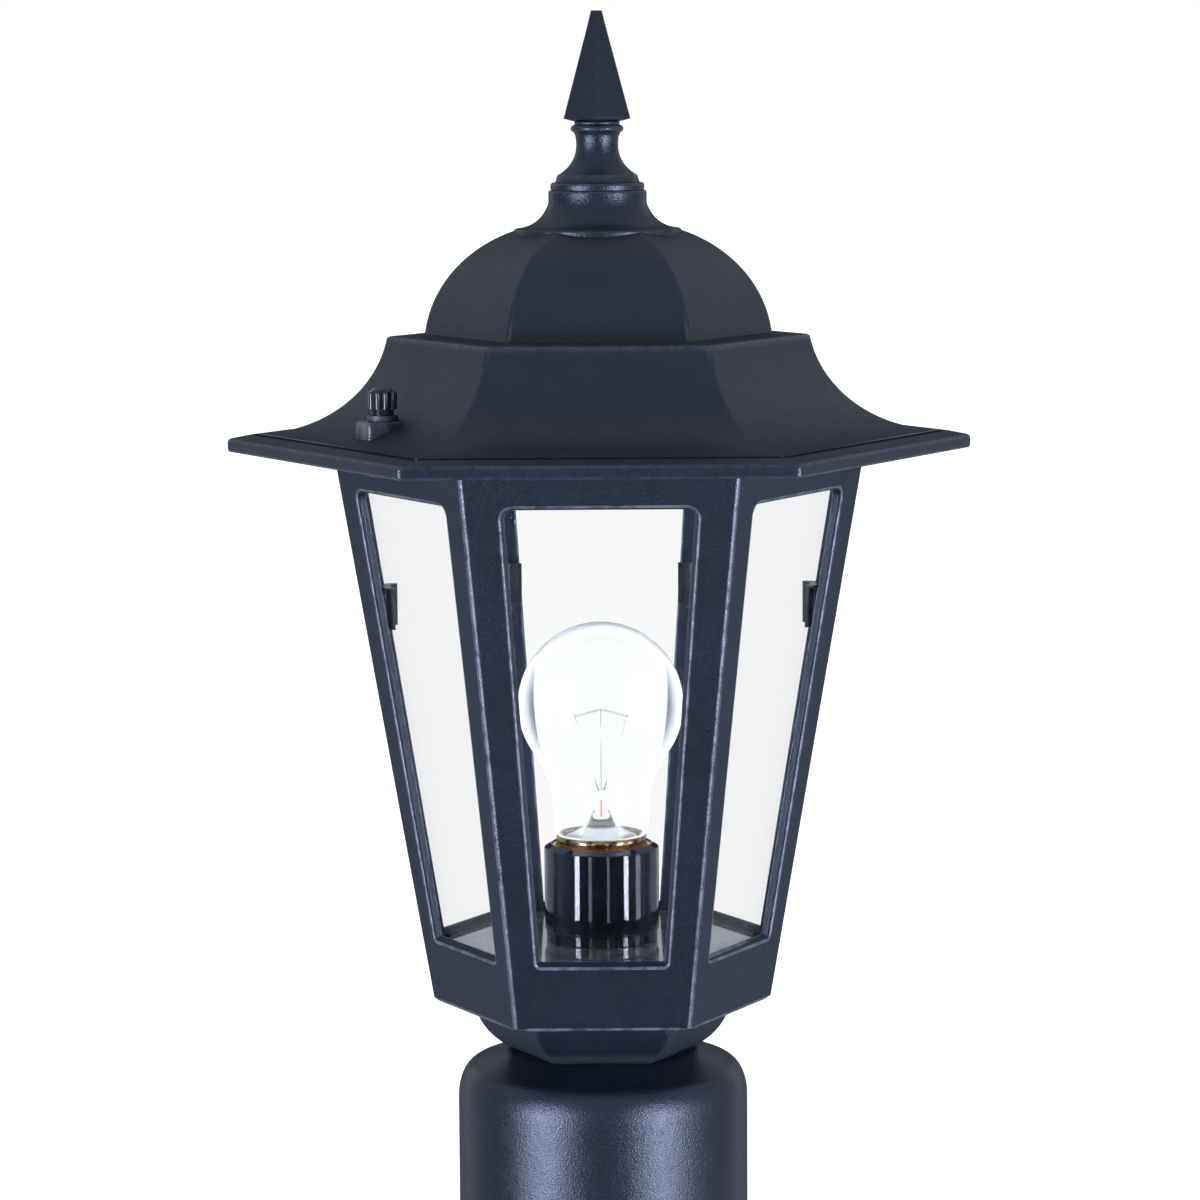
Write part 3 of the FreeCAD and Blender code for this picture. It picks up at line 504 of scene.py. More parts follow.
@dataclass(frozen=True)
class SolidFinish:
    """An opaque surface: mottled colour, grain, uneven gloss, edges lightened partly for wear and partly as a painted
    highlight, and dust in the hollows.
    """

    name: str
    colour: tuple[float, float, float]
    second: tuple[float, float, float]
    metallic: float = 0.0
    roughness: float = 0.4
    spread: float = 0.06
    specular: float = 0.5
    sheen_of_gloss: tuple[float, float, float] = (1.0, 1.0, 1.0)
    coat: float = 0.0
    mottle: float = 60.0
    grain: float = 2500.0
    grain_depth: float = 0.00001
    swell: float = 500.0
    swell_depth: float = 0.00001
    stretch: tuple[float, float, float] = (1.0, 1.0, 1.0)
    # Colour and strength of the lightened edges: partly wear, partly a painted highlight along rounded edges.
    edge: tuple[float, float, float] = (0.3, 0.3, 0.3)
    edge_wear_and_highlight: float = 0.3
    edge_polish: float = 0.3
    ridge_from: float = 0.51
    ridge_to: float = 0.57
    graze_rough: float = 0.0
    graze_from: float = 0.62
    graze_to: float = 0.9
    dust: float = 0.1
    speck: float = 0.0

    def build(self) -> bpy.types.Material:
        """Makes the material.

        Returns:
            A material named after the finish.
        """
        tree = Tree(self.name)
        place = tree.place(self.stretch)
        mottle = tree.noise(place, self.mottle, 4.0)
        colour = tree.blend(tree.ramp(mottle, 0.35, 0.65, 0.0, 1.0), rgba(self.colour), rgba(self.second))
        shape = tree.add("ShaderNodeNewGeometry").outputs["Pointiness"]
        patch = tree.noise(place, self.mottle * 6, 5.0)
        ridge = tree.ramp(shape, self.ridge_from, self.ridge_to, 0.0, 1.0)
        # Rounded edges are lightened towards the edge colour: partly wear, partly a painted highlight.
        worn_and_highlit = tree.math("MULTIPLY", tree.math("MULTIPLY", ridge, self.edge_wear_and_highlight),
                         tree.ramp(patch, 0.35, 0.6, 0.25, 1.0))
        colour = tree.blend(worn_and_highlit, colour, rgba(self.edge))
        dusty = tree.math("MULTIPLY", tree.ramp(shape, 0.48, 0.4, 0.0, self.dust), patch)
        colour = tree.blend(dusty, colour, rgba(DUST))
        if self.speck:
            cells = tree.add("ShaderNodeTexVoronoi")
            tree.feed(cells, Vector=place, Scale=160.0)
            fleck = tree.ramp(cells.outputs["Distance"], 0.03, 0.05, self.speck, 0.0)
            colour = tree.blend(fleck, colour, rgba(FLECK))
        grain = tree.noise(place, self.grain, 2.0)
        swell = tree.noise(place, self.swell, 2.0)
        normal = tree.bump(swell, 0.6, self.swell_depth)
        normal = tree.bump(grain, 0.6, self.grain_depth, normal)
        rough = tree.ramp(patch, 0.3, 0.7, self.roughness - self.spread, self.roughness + self.spread)
        smooth = tree.math("SUBTRACT", 1.0, tree.math("MULTIPLY", ridge, self.edge_polish))
        rough = tree.math("MULTIPLY", rough, smooth)
        if self.graze_rough:
            rough = tree.math("ADD", rough, tree.ramp(tree.facing(), self.graze_from, self.graze_to, 0.0,
                                                    self.graze_rough))
        shader = tree.add("ShaderNodeBsdfPrincipled")
        tree.feed(shader, Base_Color=colour, Roughness=rough, Metallic=self.metallic, Normal=normal,
                  Specular_IOR_Level=self.specular, Specular_Tint=rgba(self.sheen_of_gloss),
                  Coat_Weight=self.coat, Coat_Roughness=0.08)
        return tree.show(shader.outputs[0])


@dataclass(frozen=True)
class GlassFinish:
    """Clear glass with a slight waviness and a film of dust; lamps shine through it."""

    name: str
    tint: tuple[float, float, float]
    ior: float = 1.5
    haze: float = 0.0
    rim_haze: float = 0.0
    film: float = 0.02
    wave: float = 60.0
    wave_depth: float = 0.00001

    def build(self) -> bpy.types.Material:
        """Makes the material.

        Returns:
            A material named after the finish.
        """
        tree = Tree(self.name)
        place = tree.place()
        wave = tree.noise(place, self.wave, 1.0)
        smear = tree.noise(place, self.wave * 3, 4.0)
        shader = tree.add("ShaderNodeBsdfPrincipled")
        tree.feed(shader, Base_Color=rgba(self.tint), Roughness=tree.ramp(smear, 0.45, 0.8, 0.0, self.film),
                  IOR=self.ior, Transmission_Weight=1.0, Normal=tree.bump(wave, 0.3, self.wave_depth))
        clear = tree.add("ShaderNodeBsdfTransparent")
        tree.feed(clear, Color=rgba(self.tint))
        white = tree.feed(tree.add("ShaderNodeBsdfDiffuse"), Color=rgba(MILK))
        path = tree.add("ShaderNodeLightPath")
        milk = tree.ramp(tree.facing(), 0.45, 0.8, self.haze, self.haze + self.rim_haze)
        glass = tree.mix(milk, shader.outputs[0], white.outputs[0])
        return tree.show(tree.mix(path.outputs["Is Shadow Ray"], glass, clear.outputs[0]))


class Finish(Enum):
    """Every surface of the lantern."""

    # The castings' bluish edge colours are partly wear and partly a painted highlight along rounded edges.
    CASTING = SolidFinish("painted_casting", (0.0032, 0.0056, 0.0098), (0.0044, 0.0072, 0.0124), roughness=0.3,
                          spread=0.025, sheen_of_gloss=(0.69, 0.765, 1.0), mottle=45.0, grain=2400.0,
                          grain_depth=0.0002, swell=600.0, swell_depth=0.00009, edge=(0.12, 0.125, 0.16),
                          edge_polish=0.55, ridge_from=0.516, ridge_to=0.56, graze_rough=0.5, dust=0.03, speck=0.6)
    CUP_CASTING = replace(CASTING, name="painted_cup", graze_rough=0.4, graze_from=0.36, graze_to=0.5)
    # The cage's pale lavender edge colour is mostly a painted highlight along its corners and window edges, partly
    # wear.
    CAGE_CASTING = replace(CUP_CASTING, name="painted_cage", edge=(0.3, 0.31, 0.38), edge_wear_and_highlight=0.22, edge_polish=0.8,
                           ridge_from=0.5055, ridge_to=0.5088)
    SPIRE_CASTING = replace(CASTING, name="painted_spire", edge_wear_and_highlight=0.0, edge_polish=0.0)
    FLOOR = SolidFinish("black_sheet", (0.006, 0.01, 0.015), (0.009, 0.013, 0.019), roughness=0.09, spread=0.008,
                        specular=1.0, mottle=30.0, grain=1500.0, grain_depth=0.000001, swell=120.0,
                        swell_depth=0.000004, edge=(0.25, 0.26, 0.26), edge_wear_and_highlight=0.4, dust=0.0)
    STEEL = SolidFinish("plated_steel", (0.48, 0.48, 0.47), (0.6, 0.59, 0.56), metallic=1.0, roughness=0.3,
                        spread=0.08, mottle=300.0, grain=3000.0, grain_depth=0.000006, edge=(0.7, 0.7, 0.7))
    SPRING = SolidFinish("spring_steel", (0.006, 0.007, 0.009), (0.01, 0.011, 0.014), specular=0.15, mottle=200.0,
                         stretch=(1.0, 1.0, 0.1), edge=(0.05, 0.05, 0.055), edge_wear_and_highlight=0.05)
    BLACK_MOULDING = SolidFinish("black_moulding", (0.004, 0.005, 0.008), (0.007, 0.008, 0.012), roughness=0.035,
                                 spread=0.01, specular=0.8, sheen_of_gloss=(0.85, 0.87, 1.0), mottle=90.0, grain=900.0,
                                 grain_depth=0.000001, swell=150.0, swell_depth=0.000004, edge=(0.04, 0.04, 0.045))
    BRASS = SolidFinish("brass", (0.66, 0.42, 0.16), (0.8, 0.56, 0.26), metallic=1.0, roughness=0.24, spread=0.08,
                        mottle=250.0, edge=(0.95, 0.75, 0.42))
    RUBBER = SolidFinish("rubber_seal", (0.012, 0.012, 0.013), (0.022, 0.022, 0.023), roughness=0.7, mottle=400.0,
                         grain=5000.0, grain_depth=0.00002, edge=(0.07, 0.07, 0.07), dust=0.3)
    BLACK_NUT = SolidFinish("black_nut", (0.003, 0.004, 0.007), (0.005, 0.007, 0.011), roughness=0.09, spread=0.03,
                            sheen_of_gloss=(0.8, 0.85, 1.0), mottle=500.0, grain=4000.0, grain_depth=0.000002,
                            edge=(0.1, 0.1, 0.12))
    LAMP_SHELL = SolidFinish("lamp_shell", (0.3, 0.2, 0.11), (0.44, 0.3, 0.16), metallic=1.0, roughness=0.22,
                             spread=0.07, mottle=250.0, edge=(0.8, 0.62, 0.4))
    BLACK_GLASS = SolidFinish("lamp_black_glass", (0.01, 0.01, 0.012), (0.03, 0.03, 0.034), roughness=0.12,
                              mottle=300.0, edge=(0.1, 0.1, 0.1))
    SOLDER = SolidFinish("solder", (0.5, 0.5, 0.5), (0.64, 0.64, 0.63), metallic=1.0, mottle=500.0,
                         swell_depth=0.00006, edge=(0.75, 0.75, 0.75))
    WIRE = SolidFinish("lamp_wire", (0.5, 0.46, 0.42), (0.64, 0.6, 0.56), metallic=1.0, roughness=0.34,
                       mottle=600.0, edge=(0.8, 0.75, 0.7))
    LEAD_GLASS = SolidFinish("lead_seal", (0.42, 0.02, 0.012), (0.55, 0.05, 0.03), roughness=0.1, mottle=900.0,
                             edge=(0.6, 0.2, 0.15))
    PANE = GlassFinish("clear_glass", (0.982, 0.985, 0.984), ior=1.2, film=0.01)
    LAMP_GLASS = GlassFinish("lamp_glass", (0.99, 1.0, 0.995), ior=1.15, haze=0.02, rim_haze=0.45, film=0.0, wave=40.0,
                             wave_depth=0.00002)


class Workshop:
    """Makes each material once, and finishes and fits each piece."""

    def __init__(self) -> None:
        """Starts with no material made."""
        self.made: dict[Finish, bpy.types.Material] = {}
        self.ring = Ring()
        self.new_pieces = 0

    def material(self, finish: Finish) -> bpy.types.Material:
        """The material of a finish."""
        if finish not in self.made:
            self.made[finish] = finish.value.build()
        return self.made[finish]

    def around(self, shell: Shell, name: str, finish: Finish, count: int = SIDES, first: float = FIRST_FACE) -> Piece:
        """A ring of copies of a shell, as one piece.

        Args:
            shell: The one that repeats.
            name: The piece's name.
            finish: Its surface.
            count: How many there are.
            first: Angle of the first, in radians.

        Returns:
            The new piece.
        """
        piece = shell.piece(name)
        self.ring.repeat(piece, count, first, self.material(finish))
        return piece

    def fit(self, piece: Piece, finish: Finish, body: str, replaces: Sequence[str] = ()) -> None:
        """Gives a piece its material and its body.

        Args:
            piece: The finished object.
            finish: Its surface.
            body: The CAD body that it moves with.
            replaces: CAD nodes that it stands for.
        """
        piece.data.materials.clear()
        piece.data.materials.append(self.material(finish))
        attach(piece, body)
        if replaces:
            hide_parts(*replaces)
        self.new_pieces += 1
        LOG.info("piece %s on %s: %d faces", piece.name, body, len(piece.data.polygons))

    def dress(self, finish: Finish, *nodes: str) -> None:
        """Gives CAD nodes their material and leaves their shapes alone."""
        for node in nodes:
            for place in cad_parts[node].material_slots:
                place.material = self.material(finish)
            LOG.info("node %s dressed as %s", node, finish.value.name)


# ---- post sleeve and cup ----
@dataclass
class Sleeve:
    """Round cast sleeve for the post, its set screws and the six-sided cup on top."""

    outer_r: float = 41.9
    bore_r: float = 38.5
    height: float = 76.0
    post_depth: float = 58.0
    stop_w: float = 4.0
    wall: float = 3.4
    straight: float = 62.0
    shoulder_run: float = 5.4
    shoulder_rise: float = 9.9
    neck_r: float = 27.6
    nipple_r: float = 5.1
    cup_h: float = 14.0
    cup_low: float = 23.6
    cup_high: float = 32.65
    cup_bulge: float = -2.0
    cup_corner_r: float = 2.2
    screw_angles: tuple[float, ...] = (90.0, 210.0, 330.0)
    screw_r: float = 3.1
    screw_z: float = 20.0
    screw_start: float = 38.8
    screw_len: float = 6.4
    screw_pitch: float = 1.27
    screw_depth: float = 0.32
    screw_socket_r: float = 1.6
    hole_gap: float = 0.06
    hole_past: float = 2.0

    def casting(self) -> Piece:
        """The sleeve's shell."""
        steps = 12
        turns = [math.pi / 2 * n / steps for n in range(1, steps + 1)]
        shoulder = [(self.outer_r - self.shoulder_run * (1 - math.cos(t)),
                     self.straight + self.shoulder_rise * math.sin(t)) for t in turns]
        inner_top = self.height - self.wall
        stop_r = self.bore_r - self.stop_w
        hole_r = self.screw_r + self.hole_gap
        gaps = ((-1, 2.5), (-1, 0.5), (1, 0.5), (1, 2.5), (1, 4.0))
        guards = [self.screw_z + way * (hole_r + gap) for way, gap in gaps]
        piece = Shell().turn(soften([
            (self.bore_r, 0, 0.5),
            (self.outer_r, 0, 0.8),
            *((self.outer_r, z) for z in guards),
            (self.outer_r, self.straight),
            *shoulder,
            (self.neck_r, self.height, 1.2),
            (self.nipple_r, self.height),
            (self.nipple_r, inner_top),
            (self.neck_r - self.wall, inner_top, 2.0),
            (stop_r, self.straight + self.shoulder_rise - self.wall, 2.0),
            (stop_r, self.post_depth, 0.5),
            (self.bore_r, self.post_depth, 0.6),
            *((self.bore_r, z) for z in reversed(guards)),
        ], closed=True), steps=144, closed=True).piece("sleeve_casting")
        length = self.wall + 2 * self.hole_past
        hole = Shell().turn([(0, 0), (hole_r, 0), (hole_r, length), (0, length)], steps=40)
        holes = Shell()
        for angle in self.screw_angles:
            holes.merge(hole, self.screw_place(angle, self.bore_r - self.hole_past))
        cut(piece, holes.piece("screw_holes"))
        return piece

    def screw_place(self, angle: float, out: float) -> Matrix:
        """From the Z axis to a set screw's axis, a distance out from the sleeve's middle."""
        place = Matrix.Rotation(math.radians(angle), 4, "Z")
        return place @ Matrix.Translation((out, 0, self.screw_z)) @ Matrix.Rotation(math.pi / 2, 4, "Y")

    def cup(self, shop: Workshop) -> Piece:
        """The ogee cup, six sides mitred."""
        low, top = self.height, self.height + self.cup_h
        section = soften([
            (0, low), (self.cup_low - 0.4, low), (self.cup_low, low + 0.3),
            *arc_to((self.cup_low, low), (self.cup_high, top), self.cup_bulge, 14), (self.cup_high, top), (0, top),
        ])
        return shop.around(Shell().panel(section, self.cup_corner_r), "ogee_cup", Finish.CUP_CASTING)

    def build(self, shop: Workshop) -> None:
        """Makes and fits the sleeve, the cup and the headless screws."""
        shop.fit(self.casting(), Finish.CASTING, "base", ["fitter"])
        shop.fit(self.cup(shop), Finish.CUP_CASTING, "base", ["base_cup"])
        screw = threaded_rod(self.screw_r, 0.0, self.screw_len, self.screw_pitch, self.screw_depth,
                             socket_r=self.screw_socket_r)
        for number, angle in enumerate(self.screw_angles, 1):
            piece = Shell().merge(screw, self.screw_place(angle, self.screw_start)).piece(f"set_screw_thread_{number}")
            shop.fit(piece, Finish.STEEL, f"set_screw_{number}", [f"set_screw_{number}"])


def threaded_rod(radius: float, low: float, high: float, pitch: float, depth: float,
                 socket_r: float = 0.0, bore_r: float = 0.0) -> Shell:
    """An upright rod with a real helical thread and pointed ends.

    Args:
        radius: Over the crests.
        low: Height of its lower end.
        high: Height of its upper end.
        pitch: Rise for each turn.
        depth: Crest to root.
        socket_r: Radius of a blind recess in the upper end, or 0.
        bore_r: Radius of a hole from end to end, or 0.

    Returns:
        The shell, about the Z axis.
    """
    around = 28
    fine = 8
    count = max(2, round((high - low) / pitch * fine))
    rows = []
    for i in range(count + 1):
        z = low + (high - low) * i / count
        lead = max(0.0, min(1.0, (z - low) / (pitch * 0.8), (high - z) / (pitch * 0.8)))
        row = circle(1.0, z, around)
        for j, point in enumerate(row):
            ridge = abs(2 * ((z / pitch - j / around) % 1.0) - 1)
            point.xy *= radius - depth * (1 - ridge * lead)
        rows.append(row)
    if bore_r:
        rows += [circle(bore_r, high, around), circle(bore_r, low, around)]
        return Shell().grid(rows, around=True, along=True)
    recess = high - radius * 0.8
    top = [(socket_r, high), (socket_r, recess), (0.0, recess)] if socket_r else [(0.0, high)]
    return Shell().grid([circle(0.0, low, around), *rows, *(circle(r, z, around) for r, z in top)], around=True)


# ---- cage ----
@dataclass
class Cage:
    """Tapered six-sided casting with a framed window in each side."""

    foot_z: float = 90.0
    height: float = 160.0
    foot_a: float = 42.35
    taper: float = math.radians(8.36)
    wall: float = 2.6
    corner_r: float = 1.7
    foot_r: float = 46.5
    foot_tuck: Point = (0.5, 0.6)
    ledge_z: float = 106.8
    ledge_a: float = 37.0
    web_z: float = 93.0
    window_low: float = 19.2
    window_high: float = 150.6
    half_low: float = 18.1
    half_high: float = 26.8
    low_r: float = 1.2
    high_r: float = 3.0
    draft: float = 0.8
    edge_r: float = 0.75
    inner_edge_r: float = 0.35
    arc_steps: int = 6
    lip_r: float = 0.7
    guard_steps: tuple[float, ...] = (0.3, 0.6, 0.9)
    lug_half: float = 5.5
    lug_in: float = 62.35
    lug_out: float = 68.0
    lug_top: float = 249.95
    lug_h: float = 4.5
    boss_at: float = 59.9
    boss_w: float = 5.7
    boss_half: float = 2.6
    boss_low: float = 200.5
    boss_high: float = 209.5
    head_r: float = 2.3
    head_h: float = 1.4

    def at(self, across: float, up: float, out: float) -> Vector:
        """A point of the side that faces +X: across it, up its slope and out of it."""
        return Vector((
            self.foot_a + up * math.sin(self.taper) + out * math.cos(self.taper),
            across,
            self.foot_z + up * math.cos(self.taper) - out * math.sin(self.taper),
        ))

    def window(self, grow: float, out: float) -> list[Vector]:
        """The window's outline at a depth, from low left counter-clockwise, grown all round."""
        low, high = self.window_low - grow, self.window_high + grow
        slope = (self.half_high - self.half_low) / (self.window_high - self.window_low)
        lean = math.atan(slope)
        side = grow / math.cos(lean)
        found = []
        for sign, top in ((1, False), (1, True), (-1, True), (-1, False)):
            radius = max(0.2, (self.high_r if top else self.low_r) + grow)
            inner_y = high - radius if top else low + radius
            half = self.half_low + (inner_y - self.window_low) * slope + side - radius / math.cos(lean)
            first = -math.pi / 2 if not top else -lean
            last = -lean if not top else math.pi / 2
            turns = [first + (last - first) * n / self.arc_steps for n in range(self.arc_steps + 1)]
            points = [(half + radius * math.cos(t), inner_y + radius * math.sin(t)) for t in turns]
            if sign < 0:
                points = [(-x, y) for x, y in reversed(points)]
            found += [self.at(x, y, out) for x, y in points]
        return found

    def border(self, half_at: Callable[[float], float], low: float, high: float, out: float) -> list[Vector]:
        """A four-cornered outline with as many points as the window's, each beside its mate.

        Args:
            half_at: Half width at a height up the slope.
            low: Height of the lower edge.
            high: Height of the upper edge.
            out: Depth of the outline.

        Returns:
            Points in the window's order.
        """
        steps = self.arc_steps
        reach = 3.5
        found = []
        for sign, top in ((1, False), (1, True), (-1, True), (-1, False)):
            y = high if top else low
            inward = -reach if top else reach
            corner = (half_at(y), y)
            level = (half_at(y) - reach, y)
            upright = (half_at(y + inward), y + inward)
            path = [upright, corner, level] if top else [level, corner, upright]
            points = []
            for n in range(steps + 1):
                t = 2 * n / steps
                a, b = (path[0], path[1]) if t <= 1 else (path[1], path[2])
                f = t if t <= 1 else t - 1
                points.append((a[0] + (b[0] - a[0]) * f, a[1] + (b[1] - a[1]) * f))
            if sign < 0:
                points = [(-x, yy) for x, yy in reversed(points)]
            found += [self.at(x, yy, out) for x, yy in points]
        return found

    def side(self) -> Shell:
        """One side, from mid corner to mid corner, facing +X."""
        half = SIDE_TURN / 2
        sin, cos = math.sin(self.taper), math.cos(self.taper)
        top = self.height / cos
        inner_top = (self.height - self.wall * sin) / cos
        inner_low = (self.ledge_z - self.foot_z - self.wall * sin) / cos
        foot = self.lip_r

        def outer_half(y: float) -> float:
            """Half width of the flat between the rounded corners."""
            return (self.foot_a + y * sin - self.corner_r) * math.tan(half)

        def inner_half(y: float) -> float:
            """Half width of the inner face, to the mitre."""
            return (self.foot_a + y * sin - self.wall * cos) * math.tan(half)

        rows = [self.border(lambda y: outer_half(y) - step, foot + step, top - step, 0.0)
                for step in (0.0, *self.guard_steps)]
        rows += [self.window(self.edge_r + step, 0.0) for step in reversed(self.guard_steps)]
        for turn in (math.pi / 2 * n / 4 for n in range(5)):
            rows.append(self.window(self.edge_r * (1 - math.sin(turn)), -self.edge_r * (1 - math.cos(turn))))
        deep = self.wall - self.inner_edge_r
        for depth in (self.edge_r + 0.2, deep - 0.1):
            rows.append(self.window(-self.draft * depth / self.wall, -depth))
        for turn in (math.pi / 2 * n / 3 for n in range(4)):
            rows.append(self.window(-self.draft + self.inner_edge_r * (1 - math.cos(turn)),
                                    -deep - self.inner_edge_r * math.sin(turn)))
        rows += [self.window(-self.draft + self.inner_edge_r + step, -self.wall) for step in self.guard_steps]
        rows += [self.border(lambda y: inner_half(y) - step, inner_low + step, inner_top - step, -self.wall)
                 for step in (*reversed(self.guard_steps), 0.0)]
        shell = Shell().grid(rows, around=True)
        self.close_side(shell, rows[0], rows[-1])
        return shell

    def close_side(self, shell: Shell, outer: list[Vector], inner: list[Vector]) -> None:
        """Adds the rounded corners, the rim on top and the foot, out to the mitres.

        Args:
            shell: The side's shell.
            outer: Outline of the flat outer face, in the window's order.
            inner: Outline of the inner face.
        """
        each = self.arc_steps + 1
        half = SIDE_TURN / 2

        def rounded(point: Vector) -> list[Vector]:
            """From the edge of the flat to the mitre, level."""
            sign = 1 if point.y > 0 else -1
            inset = point.x - self.corner_r
            turns = [half * n / 5 for n in range(6)]
            return [Vector((inset + self.corner_r * math.cos(t),
                            sign * (inset * math.tan(half) + self.corner_r * math.sin(t)), point.z)) for t in turns]

        low_right, top_right, top_left, low_left = (each * n + self.arc_steps // 2 for n in range(4))
        shell.grid([rounded(p) for p in outer[low_right:top_right + 1]])
        shell.grid([rounded(p) for p in outer[top_left:low_left + 1]])
        steps = len(rounded(outer[0]))
        shell.grid([
            rounded(outer[top_right])[::-1] + outer[top_right + 1:top_left] + rounded(outer[top_left]),
            [inner[top_right]] * steps + inner[top_right + 1:top_left] + [inner[top_left]] * steps,
        ])
        shell.grid(self.foot_rows(rounded(outer[low_left])[::-1] + outer[low_left + 1:] + outer[:low_right]
                                  + rounded(outer[low_right])))
        foot_inner = inner[low_left:] + inner[:low_right + 1]
        shell.grid([foot_inner, *[self.level(foot_inner, a, z) for a, z in (
            (self.ledge_a, self.ledge_z), (self.ledge_a, self.web_z), (0.0, self.web_z))]])

    def foot_rows(self, row: list[Vector]) -> list[list[Vector]]:
        """Rows from the face's lower edge round the foot and in to the axis."""
        tuck_in, tuck_down = self.foot_tuck
        trimmed, tucked = [], []
        for point in row:
            far = math.hypot(point.x, point.y)
            edge = Vector((point.x, point.y, max(point.z, self.foot_z + (far - self.foot_r) / 2)))
            trimmed.append(edge)
            tucked.append(Vector((*(edge.xy * (1 - tuck_in / far)), edge.z - tuck_down)))
        return [trimmed, tucked, self.level(row, self.ledge_a, self.foot_z), self.level(row, 0.0, self.foot_z)]

    def level(self, row: list[Vector], out: float, z: float) -> list[Vector]:
        """A row drawn in to a distance from the axis and a height, spread between the mitres."""
        widest = max(abs(p.y) for p in row)
        return [Vector((out, p.y / widest * out * math.tan(SIDE_TURN / 2), z)) for p in row]

    def lugs(self) -> Shell:
        """Ears that carry the roof's studs."""
        half, out = self.lug_half, self.lug_out
        round_end = [(out + half * math.cos(t), half * math.sin(t)) for t in map(math.radians, range(-75, 76, 15))]
        outline = [(self.lug_in, -half), (out, -half), *round_end, (out, half), (self.lug_in, half)]
        return at_fasteners(Shell().block(outline, self.lug_top - self.lug_h, self.lug_top, 0.5))

    def build(self, shop: Workshop) -> None:
        """Makes and fits the cage."""
        piece = shop.around(self.side(), "cage_casting", Finish.CAGE_CASTING)
        shop.fit(piece, Finish.CAGE_CASTING, "base", ["cage"])
        shop.fit(self.lugs().piece("stud_ears"), Finish.CASTING, "base")
        self.clip_bosses(shop)
        shop.dress(Finish.PANE, *(f"glass_pane_{pane}" for pane in range(1, SIDES + 1)))
        shop.dress(Finish.SPRING, "glass_clips")
        shop.dress(Finish.FLOOR, "floor_plate")

    def clip_bosses(self, shop: Workshop) -> None:
        """Blocks in the corners with the screws that hold the clips."""
        face, back, half = self.boss_at, self.boss_at + self.boss_w, self.boss_half
        boss = Shell().block([(face, -half), (back, -half), (back, half), (face, half)],
                             self.boss_low, self.boss_high, 0.4)
        shop.fit(shop.around(boss, "clip_bosses", Finish.CASTING, first=0.0), Finish.CASTING, "base")
        middle = (self.boss_low + self.boss_high) / 2
        place = Matrix.Translation((face - 0.6, 0, middle)) @ Matrix.Rotation(-math.pi / 2, 4, "Y")
        head = Shell().merge(screw_head(self.head_r, self.head_h), place)
        shop.fit(shop.around(head, "clip_screw_heads", Finish.STEEL, first=0.0), Finish.STEEL, "base")


def screw_head(radius: float, height: float) -> Shell:
    """A domed screw head with a slot, standing on the origin.

    Args:
        radius: The head's radius.
        height: Its height.

    Returns:
        The shell, about the Z axis.
    """
    slot_half = 0.22 * radius
    slot_floor = 0.45 * height
    rows = [circle(radius * r, height * z, 32) for r, z in arc((0.0, 0.0), 1.0, 0, 90, 10)]
    for point in (p for row in rows for p in row):
        if abs(point.y) < slot_half:
            point.z = min(point.z, slot_floor)
    return Shell().grid(rows, around=True)


